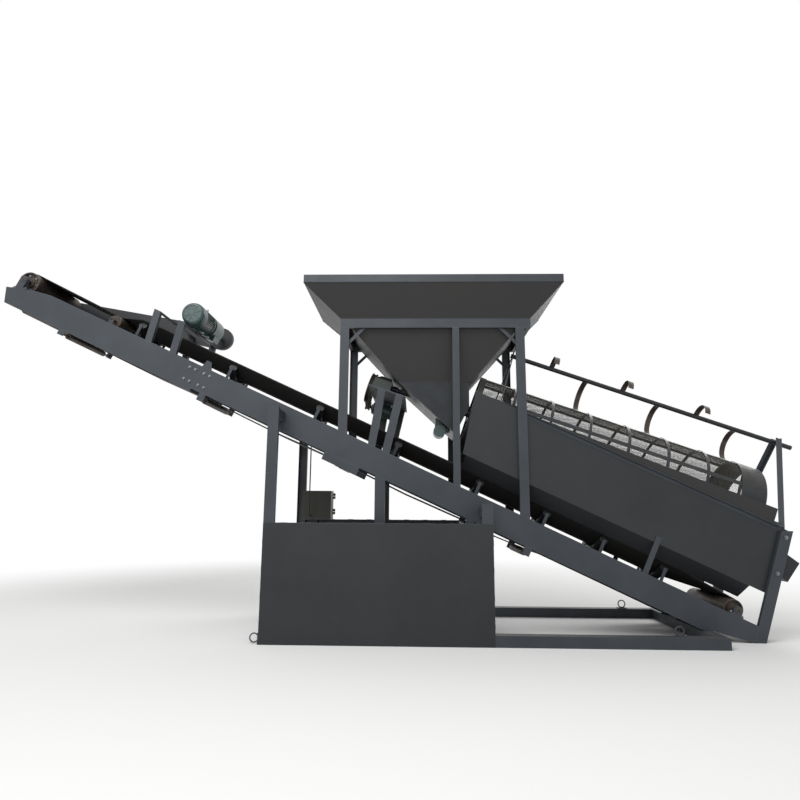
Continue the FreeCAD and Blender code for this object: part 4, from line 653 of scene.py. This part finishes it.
@dataclass
class RibbedMotor:
    """An enclosed fan-cooled motor: ribbed barrel, end shields, fan cowl, terminal box and feet.

    Bare shares in its outlines are shares of the radius over the ribs. Bare lengths are metres.
    """

    name: str
    base: Incline
    start_mm: Point
    along_y: bool
    radius_mm: float
    barrel_mm: float
    cowl_mm: float
    feet_above: bool
    foot_mm: float
    box_turn_deg: float
    way: int = 1
    sides: int = 40
    ribs: int = 34
    rib_half: float = 0.0022
    lowest_rib: float = -0.86
    spokes: int = 8
    grille_sink: float = 0.006
    box_share: float = 0.52
    eye_lift: float = 0.02
    eye_radius: float = 0.014
    eye_wire: float = 0.004

    def _directions(self) -> tuple[Vector, Vector, Vector]:
        """Give the motor's own directions.

        Returns:
            The directions of its axis, its side and its top.
        """
        along, across, above = self.base.axes()
        top = -above if self.feet_above else above
        axis = (across if self.along_y else along) * self.way
        return axis, axis.cross(top), top

    def build(self, replaced: str, finish: bpy.types.Material) -> bpy.types.Object:
        """Build the motor over its plain solid.

        Args:
            replaced: The solid that it stands for.
            finish: Enamel of the whole motor.

        Returns:
            The motor.
        """
        axis, _, top = self._directions()
        start = self.base.at(*self.start_mm)
        mesh = MeshMaker()
        radius = self.radius_mm * MM
        barrel = self.barrel_mm * MM
        self._housing(mesh, start, radius, barrel)
        self._terminal_box(mesh, start, radius, barrel)
        self._feet(mesh, start, radius, barrel)
        self._eye(mesh, start + axis * barrel * 0.5 + top * radius * 0.9, axis, top)
        piece = mesh.finish(self.name, finish, Body.MACHINE, smooth=True)
        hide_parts(replaced)
        return piece

    def _housing(self, mesh: MeshMaker, start: Vector, radius: float, barrel: float) -> None:
        """Add the barrel with its ribs and the fan cowl with its grille.

        Args:
            mesh: Mesh that takes them.
            start: Drive end of the motor.
            radius: Radius over the ribs.
            barrel: Length of the barrel.
        """
        axis, side, top = self._directions()
        cowl = self.cowl_mm * MM
        shield, root = radius * 0.93, radius * 0.84
        mesh.turned(start, axis, [
            (0.0, radius * 0.3), (0.002, radius * 0.42), (0.012, radius * 0.46),
            (0.018, radius * 0.8), (0.03, shield), (0.045, shield), (0.046, root),
            (barrel - 0.02, root), (barrel - 0.019, shield), (barrel - 0.002, shield),
        ], self.sides)
        grille = cowl - self.grille_sink
        mesh.turned(start + axis * barrel, axis, [
            (0.0, radius * 0.97), (0.004, radius), (cowl * 0.72, radius), (cowl * 0.9, shield),
            (cowl * 0.99, radius * 0.8), (cowl, radius * 0.74), (grille, radius * 0.70),
            (grille, radius * 0.2), (cowl, radius * 0.16), (cowl, radius * 0.02),
        ], self.sides)
        for number in range(self.spokes):
            turn = math.tau * number / self.spokes
            spoke = side * math.cos(turn) + top * math.sin(turn)
            swing = axis.cross(spoke)
            seat = start + axis * (barrel + cowl - self.grille_sink)
            corner = seat + spoke * radius * 0.15 - swing * 0.002
            wide, reach = swing * 0.004, spoke * radius * 0.58
            outline = [corner, corner + wide, corner + wide + reach, corner + reach]
            mesh.prism(outline, axis * 0.005)
        for number in range(self.ribs):
            turn = math.tau * (number + 0.5) / self.ribs
            if math.sin(turn) < self.lowest_rib:
                continue
            spoke = side * math.cos(turn) + top * math.sin(turn)
            swing = axis.cross(spoke).normalized() * self.rib_half
            low = start + axis * 0.05 + spoke * radius * 0.8
            tip, reach = swing * 0.6, spoke * radius * 0.19
            outline = [low - swing, low + swing, low + tip + reach, low - tip + reach]
            mesh.prism(outline, axis * (barrel - 0.075))

    def _terminal_box(self, mesh: MeshMaker, start: Vector, radius: float, barrel: float) -> None:
        """Add the terminal box with its lid and gland.

        Args:
            mesh: Mesh that takes it.
            start: Drive end of the motor.
            radius: Radius over the ribs.
            barrel: Length of the barrel.
        """
        axis, side, top = self._directions()
        turn = math.radians(self.box_turn_deg)
        out = side * math.cos(turn) + top * math.sin(turn)
        cross = axis.cross(out)
        # The box and then its lid: half width, and the shares of the radius that it spans.
        for half, low, high in ((0.048, 0.80, 1.30), (0.052, 1.30, 1.37)):
            centre = start + axis * barrel * self.box_share + out * radius * low
            wide, deep = axis * half, cross * half * 0.9
            ring = [
                centre + wide + deep, centre - wide + deep,
                centre - wide - deep, centre + wide - deep,
            ]
            mesh.prism(ring, out * radius * (high - low))
        gland = start + axis * barrel * self.box_share + out * radius * 1.05 + cross * 0.042
        mesh.turned(gland, cross, [(0, 0.012), (0.012, 0.012), (0.013, 0.009), (0.024, 0.008)], 12)

    def _feet(self, mesh: MeshMaker, start: Vector, radius: float, barrel: float) -> None:
        """Add two cast feet.

        Args:
            mesh: Mesh that takes them.
            start: Drive end of the motor.
            radius: Radius over the ribs.
            barrel: Length of the barrel.
        """
        axis, side, top = self._directions()
        low = self.foot_mm * MM
        for share in (0.14, 0.66):
            for hand in (-1, 1):
                out = side * hand * radius
                corner = start + axis * barrel * share - top * low + out * 0.25
                toe = corner + out * 0.68
                outline = [
                    corner, toe, toe + top * 0.014, corner + out * 0.4 + top * 0.02,
                    corner + top * (low - radius * 0.75),
                ]
                mesh.prism(outline, axis * barrel * 0.2)

    def _eye(self, mesh: MeshMaker, seat: Vector, axis: Vector, top: Vector) -> None:
        """Add a lifting eye.

        Args:
            mesh: Mesh that takes it.
            seat: Foot of the eye.
            axis: The motor's axis.
            top: Direction of the eye.
        """
        loops = []
        cross = axis.cross(top)
        for step in range(16):
            turn = math.tau * step / 16
            spoke = axis * math.cos(turn) + top * math.sin(turn)
            centre = seat + top * self.eye_lift + spoke * self.eye_radius
            loops.append([
                centre + (spoke * math.cos(bend) + cross * math.sin(bend)) * self.eye_wire
                for bend in (math.tau * k / 6 for k in range(6))
            ])
        mesh.rings(loops, closed=True)


@dataclass
class FrameFasteners:
    """Bolts of the frame: splices, bearings, gearbox feet, end posts and head drum.

    Stations, faces and heights are millimetres on an incline. Those of the end posts are metres.
    """

    bolts: list[tuple[Vector, Vector, float]] = field(default_factory=list)
    bolt_size: float = 14 * MM
    splice_stations: tuple[float, ...] = (-2300, -2235, -2135, -2070)
    splice_heights: tuple[float, ...] = (-60, -190)
    splice_face: float = -500
    bearing_face: float = -471
    tail_stations: tuple[float, ...] = (3424, 3532)
    tail_height: float = 14
    head_stations: tuple[float, ...] = (-4423, -4313)
    head_size: float = 13 * MM
    head_end: float = -4486.5
    head_low: float = 113.0
    head_high: float = 33.0
    head_taper: float = 280.0
    head_plate: float = 15
    gearbox_stations: tuple[float, ...] = (-1035, -895)
    gearbox_face: float = -180
    gearbox_height: float = -110
    post_heights: tuple[float, ...] = (0.62, 0.95)
    post_size: float = 18 * MM
    post_foot: float = 3.352
    post_lean: float = 0.3433
    post_face: float = -0.5
    drum_place: Point = (-4368, -375, 36)
    drum_circle: float = 76
    drum_bolts: int = 6

    def _both_sides(self, seat: Vector, axis: Vector, size: float) -> None:
        """Put a bolt on the near side and its twin on the far side.

        Args:
            seat: Seat of the near bolt.
            axis: Its direction.
            size: Its thread diameter in metres.
        """
        self.bolts.append((seat, axis, size))
        far_seat = Vector((seat.x, -seat.y, seat.z))
        far_axis = Vector((axis.x, -axis.y, axis.z))
        self.bolts.append((far_seat, far_axis, size))

    def build(self) -> bpy.types.Object:
        """Place every bolt.

        Returns:
            The bolts as one piece.
        """
        near = Vector((0.0, -1.0, 0.0))
        above = CONVEYOR.axes()[2]
        for station in self.splice_stations:
            for height in self.splice_heights:
                seat = CONVEYOR.at(station, self.splice_face, height)
                self._both_sides(seat, near, self.bolt_size)
        for station in self.tail_stations:
            seat = CONVEYOR.at(station, self.bearing_face, self.tail_height)
            self._both_sides(seat, above, self.bolt_size)
        slope = (self.head_low - self.head_high) / self.head_taper
        for station in self.head_stations:
            height = -self.head_low + (station - self.head_end) * slope + self.head_plate
            seat = CONVEYOR.at(station, self.bearing_face, height)
            self._both_sides(seat, above, self.head_size)
        for station in self.gearbox_stations:
            seat = SCREEN.at(station, self.gearbox_face, self.gearbox_height)
            self._both_sides(seat, SCREEN.axes()[2], self.bolt_size)
        for height in self.post_heights:
            seat = Vector((self.post_foot + height * self.post_lean, self.post_face, height))
            self._both_sides(seat, near, self.post_size)
        station, face, middle = self.drum_place
        for step in range(self.drum_bolts):
            turn = math.tau * step / self.drum_bolts
            along = station + self.drum_circle * math.cos(turn)
            height = middle + self.drum_circle * math.sin(turn)
            self._both_sides(CONVEYOR.at(along, face, height), near, self.bolt_size)
        mesh = MeshMaker()
        for seat, axis, size in self.bolts:
            mesh.hex_bolt(seat, axis, size)
        return mesh.finish("frame_bolts", ZINC_PLATE.material(), Body.MACHINE)


@dataclass
class HopperSeams:
    """Weld beads down the hopper's corners, along its ring beam, its rim and its throat.

    Each level is given by its rear and its front corner on the far side.
    """

    radius: float = 4.0 * MM
    rim: tuple[Point, Point] = ((-0.958, 0.64, 3.447), (1.664, 0.64, 3.447))
    ring: tuple[Point, Point] = ((-0.59, 0.5, 3.112), (1.346, 0.5, 3.112))
    funnel: tuple[Point, Point] = ((-0.55, 0.46, 3.112), (1.306, 0.46, 3.112))
    throat: tuple[Point, Point] = ((0.002, 0.3, 2.49), (0.762, 0.3, 2.49))

    def _seam(self, mesh: MeshMaker, hand: int, start: Point, end: Point) -> None:
        """Lay one bead.

        Args:
            mesh: Mesh that takes it.
            hand: -1 for the near side, 1 for the far side.
            start: Its first end on the far side.
            end: Its last end on the far side.
        """
        first, last = (Vector((x, hand * y, z)) for x, y, z in (start, end))
        mesh.bead(first, last, self.radius)

    def build(self) -> bpy.types.Object:
        """Lay the beads.

        Returns:
            The beads as one piece.
        """
        mesh = MeshMaker()
        for start, end in zip(self.ring, self.rim):
            for hand in (-1, 1):
                self._seam(mesh, hand, start, end)
        for hand in (-1, 1):
            for start, end in (self.ring, self.rim, self.throat, *zip(self.funnel, self.throat)):
                self._seam(mesh, hand, start, end)
        return mesh.finish("hopper_weld_beads", HOPPER_ENAMEL.material(), Body.MACHINE, smooth=True)


@dataclass
class PanelSeams:
    """Stitch welds along the top and the ends of the two side panels, in metres."""

    rear: float = -1.215
    front: float = 0.889
    top: float = 1.062
    top_face: float = 0.8105
    top_count: int = 9
    top_start: float = 0.16
    top_pitch: float = 0.22
    top_stitch: float = 0.06
    top_radius: float = 3 * MM
    end_face: float = 0.8122
    end_count: int = 4
    end_start: float = 0.15
    end_pitch: float = 0.24
    end_stitch: float = 0.05
    end_radius: float = 1.8 * MM

    def build(self) -> bpy.types.Object:
        """Lay the stitch welds.

        Returns:
            The welds as one piece.
        """
        mesh = MeshMaker()
        for hand in (-1, 1):
            face = hand * self.top_face
            for step in range(self.top_count):
                x = self.rear + self.top_start + step * self.top_pitch
                start = Vector((x, face, self.top))
                mesh.bead(start, Vector((x + self.top_stitch, face, self.top)), self.top_radius)
            face = hand * self.end_face
            for x in (self.rear, self.front):
                for step in range(self.end_count):
                    z = self.end_start + step * self.end_pitch
                    start = Vector((x, face, z))
                    mesh.bead(start, Vector((x, face, z + self.end_stitch)), self.end_radius)
        return mesh.finish("panel_stitch_welds", FRAME_ENAMEL.material(), Body.MACHINE, smooth=True)


@dataclass
class LegFlanges:
    """The second flange of each front cleaner leg, which makes the leg an angle iron."""

    station_mm: float = 3160.0
    depth_mm: float = 52.0
    wall_mm: float = 5.0
    foot_mm: tuple[float, float] = (464.0, -128.0)
    head_mm: tuple[float, float] = (46.0, 818.0)

    def build(self) -> bpy.types.Object:
        """Fit a flange to the near and the far leg.

        Returns:
            The flanges as one piece.
        """
        mesh = MeshMaker()
        depth = SCREEN.axes()[0] * -self.depth_mm * MM
        for hand in (-1, 1):
            outline = [
                SCREEN.at(self.station_mm, hand * across, above)
                for across, above in (
                    self.foot_mm,
                    (self.foot_mm[0] - self.wall_mm, self.foot_mm[1]),
                    (self.head_mm[0] - self.wall_mm, self.head_mm[1]),
                    self.head_mm,
                )
            ]
            mesh.prism(outline, depth)
        return mesh.finish("cleaner_leg_flanges", FRAME_ENAMEL.material(), Body.MACHINE)


@dataclass
class CabinetTrim:
    """Latch on the control box's door: a disc with a bevelled face, in metres."""

    inset: float = 0.035
    sink: float = 0.0005
    radius: float = 0.014
    height: float = 0.003
    face_radius: float = 0.010
    face_height: float = 0.0034

    def build(self) -> bpy.types.Object:
        """Fit the latch on the leaf.

        Returns:
            The latch.
        """
        low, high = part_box("control_box_door")
        centre = Vector((low[0] + self.inset, high[1] - self.sink, (low[2] + high[2]) / 2))
        out = Vector((0.0, 1.0, 0.0))
        profile = [
            (0, self.radius), (self.height, self.radius), (self.face_height, self.face_radius),
        ]
        mesh = MeshMaker()
        mesh.turned(centre - out * self.height, out, profile, 20)
        return mesh.finish("door_latch", ZINC_PLATE.material(), Body.DOOR, smooth=True)


@dataclass
class Finishes:
    """Which finish each solid of the frame has."""

    frame_parts: tuple[str, ...] = (
        "skid_rails", "skid_cross_members", "panel_top_rails", "corner_posts", "post_cross_beams",
        "middle_posts", "corner_gussets", "lifting_rings", "conveyor_main_beams",
        "conveyor_head_beams", "splice_plates", "conveyor_cross_ties", "conveyor_bearings",
        "idler_frames", "belt_drive_stand", "hopper_ring_beam", "hopper_columns",
        "roller_hangers", "hopper_rim", "housing_lips", "housing_struts", "end_posts",
        "cleaner_frames", "screen_drive_stand", "screen_drive_deck", "outlet_cross_bar",
        "outlet_bearing", "control_box_bracket",
    )
    plate_parts: tuple[str, ...] = (
        "side_panels", "housing_plates", "housing_skirts", "belt_chain_case",
    )
    hopper_parts: tuple[str, ...] = ("hopper_flare", "hopper_funnel", "housing_fillers")
    steel_parts: tuple[str, ...] = (
        "feed_chute", "stone_chute", "cleaner_pipe", "screen_hoops", "screen_bars",
        "screen_shaft", "shaft_hubs", "idler_rolls",
    )
    rusty_parts: tuple[str, ...] = (
        "head_drum", "tail_drum", "plain_rollers", "cleaner_strips", "gearbox_pulley",
        "motor_pulley",
    )

    def apply(self) -> None:
        """Dress the solids."""
        dress(FRAME_ENAMEL.material(), self.frame_parts)
        dress(PLATE_ENAMEL.material(), self.plate_parts)
        dress(HOPPER_ENAMEL.material(), self.hopper_parts)
        dress(SCOURED_STEEL.material(), self.steel_parts)
        dress(RUBBED_STEEL.material(), self.rusty_parts)
        dress(CABINET_ENAMEL.material(), ("control_box", "control_box_door"))
        dress(MACHINE_GREEN.material(), ("belt_reducer", "vibrator"))
        dress(DARK_GREEN.material(), ("screen_gearbox",))
        dress(PLY_RUBBER.material(), ("conveyor_belt", "screen_drive_belt"))
        dress(CABLE_RUBBER.material(), ("supply_cable",))


@dataclass
class Studio:
    """Pale floor, soft light and the camera. Places are metres."""

    camera_place: Point = (0.182, -6.393, 1.213)
    pitch_deg: float = 10.084
    yaw_deg: float = 1.527
    roll_deg: float = 0.39
    lens_mm: float = 27.0
    world_level: float = 0.58
    key_place: Point = (-2.5, -6.0, 8.0)
    key_size: float = 6.0
    key_watts: float = 520.0
    fill_place: Point = (5.5, 5.0, 6.5)
    fill_size: float = 5.0
    fill_share: float = 0.4
    lamp_aim: Point = (0.0, 0.0, 1.5)
    floor_radius: float = 60.0
    floor_sides: int = 64
    floor_base: float = -0.05
    floor_depth: float = 0.0495
    fade_from: float = 4.5
    fade_to: float = 9.0

    def camera(self) -> None:
        """Set the camera at the photograph's place."""
        angles = (self.pitch_deg, self.yaw_deg, self.roll_deg)
        pitch, yaw, roll = (math.radians(angle) for angle in angles)
        forward = Vector((
            -math.sin(yaw) * math.cos(pitch), math.cos(yaw) * math.cos(pitch), math.sin(pitch)
        ))
        level = Vector((math.cos(yaw), math.sin(yaw), 0.0))
        upright = level.cross(forward)
        right = level * math.cos(roll) + upright * math.sin(roll)
        top = upright * math.cos(roll) - level * math.sin(roll)
        lens = bpy.data.cameras.new("camera")
        lens.lens = self.lens_mm
        lens.sensor_width = 36.0
        lens.sensor_fit = "HORIZONTAL"
        lens.clip_end = 300.0
        holder = bpy.data.objects.new("camera", lens)
        turn = Matrix((right, top, -forward)).transposed().to_4x4()
        holder.matrix_world = Matrix.Translation(Vector(self.camera_place)) @ turn
        bpy.context.scene.collection.objects.link(holder)
        bpy.context.scene.camera = holder

    def _seen(self, tree: bpy.types.NodeTree) -> bpy.types.NodeSocket:
        """Tell rays that show the background from rays that light the object.

        Args:
            tree: Node tree that is being built.

        Returns:
            One for camera, glossy and transmission rays, and nought for the rest.
        """
        rays = add_node(tree, "ShaderNodeLightPath")
        first = add_node(
            tree, "ShaderNodeMath", {"operation": "MAXIMUM"},
            {0: rays.outputs["Is Camera Ray"], 1: rays.outputs["Is Glossy Ray"]},
        )
        both = add_node(
            tree, "ShaderNodeMath", {"operation": "MAXIMUM"},
            {0: first.outputs[0], 1: rays.outputs["Is Transmission Ray"]},
        )
        return both.outputs[0]

    def world(self) -> None:
        """Make a white sky that lights at a plain level."""
        world = bpy.data.worlds.new("studio")
        world.use_nodes = True
        tree = world.node_tree
        tree.nodes.clear()
        level = add_node(
            tree, "ShaderNodeMapRange", links={"Value": self._seen(tree)},
            values={"To Min": self.world_level, "To Max": 1.0},
        )
        sky = add_node(
            tree, "ShaderNodeBackground", links={"Strength": level.outputs["Result"]},
            values={"Color": WHITE},
        )
        add_node(tree, "ShaderNodeOutputWorld", links={"Surface": sky.outputs[0]})
        bpy.context.scene.world = world

    def floor(self) -> None:
        """Lay a pale floor that fades to white away from the machine."""
        material, tree = blank_material("pale_floor")
        place = add_node(tree, "ShaderNodeTexCoord").outputs["Object"]
        reach = add_node(tree, "ShaderNodeVectorMath", {"operation": "LENGTH"}, {0: place})
        fade = add_node(
            tree, "ShaderNodeMapRange", {"interpolation_type": "SMOOTHSTEP"},
            {"Value": reach.outputs["Value"]},
            {"From Min": self.fade_from, "From Max": self.fade_to},
        )
        mask = add_node(
            tree, "ShaderNodeMath", {"operation": "MULTIPLY"},
            {0: fade.outputs["Result"], 1: self._seen(tree)},
        )
        matt = add_node(tree, "ShaderNodeBsdfDiffuse", values={"Color": linear("#f1f1f0")})
        glow = add_node(tree, "ShaderNodeEmission", values={"Color": WHITE, "Strength": 1.0})
        mix = add_node(
            tree, "ShaderNodeMixShader",
            links={0: mask.outputs[0], 1: matt.outputs[0], 2: glow.outputs[0]},
        )
        add_node(tree, "ShaderNodeOutputMaterial", links={"Surface": mix.outputs[0]})
        maker = MeshMaker()
        turns = [math.tau * step / self.floor_sides for step in range(self.floor_sides)]
        radius = self.floor_radius
        ring = [
            Vector((radius * math.cos(turn), radius * math.sin(turn), self.floor_base))
            for turn in turns
        ]
        maker.prism(ring, Vector((0.0, 0.0, self.floor_depth)))
        data = bpy.data.meshes.new("floor")
        maker.mesh.to_mesh(data)
        maker.mesh.free()
        data.materials.append(material)
        floor = bpy.data.objects.new("floor", data)
        bpy.context.scene.collection.objects.link(floor)

    def lamps(self) -> None:
        """Hang one large soft lamp above the near side and a weaker one opposite."""
        for name, place, size, watts in (
            ("key", self.key_place, self.key_size, self.key_watts),
            ("fill", self.fill_place, self.fill_size, self.key_watts * self.fill_share),
        ):
            data = bpy.data.lights.new(name, "AREA")
            data.size = size
            data.energy = watts
            lamp = bpy.data.objects.new(name, data)
            lamp.location = place
            gaze = Vector(self.lamp_aim) - Vector(place)
            lamp.rotation_euler = gaze.to_track_quat("-Z", "Y").to_euler()
            bpy.context.scene.collection.objects.link(lamp)

    def build(self) -> None:
        """Set up the whole studio."""
        self.camera()
        self.world()
        self.floor()
        self.lamps()
        bpy.context.scene.view_settings.view_transform = "Standard"


def main() -> None:
    """Dress the frame, add the fine pieces and report each."""
    logging.basicConfig(level=logging.INFO, format="%(message)s")
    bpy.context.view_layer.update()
    Studio().build()
    Finishes().apply()
    green = MACHINE_GREEN.material()
    pieces = [
        WireScreen().build(),
        RibbedMotor(
            "belt_motor_ribbed", CONVEYOR, start_mm=(-2568.0, -30.0, 457.0), along_y=True,
            radius_mm=122.0, barrel_mm=300.0, cowl_mm=140.0, feet_above=False, foot_mm=125.0,
            box_turn_deg=0.0, way=-1,
        ).build("belt_motor", green),
        RibbedMotor(
            "screen_motor_ribbed", SCREEN, start_mm=(-1060.0, 362.0, -210.0), along_y=False,
            radius_mm=80.0, barrel_mm=245.0, cowl_mm=85.0, feet_above=True, foot_mm=88.0,
            box_turn_deg=20.0,
        ).build("screen_motor", green),
        FrameFasteners().build(),
        HopperSeams().build(),
        PanelSeams().build(),
        LegFlanges().build(),
        CabinetTrim().build(),
    ]
    for piece in pieces:
        LOG.info("%s: %d faces", piece.name, len(piece.data.polygons))


if __name__ == "__main__":
    main()
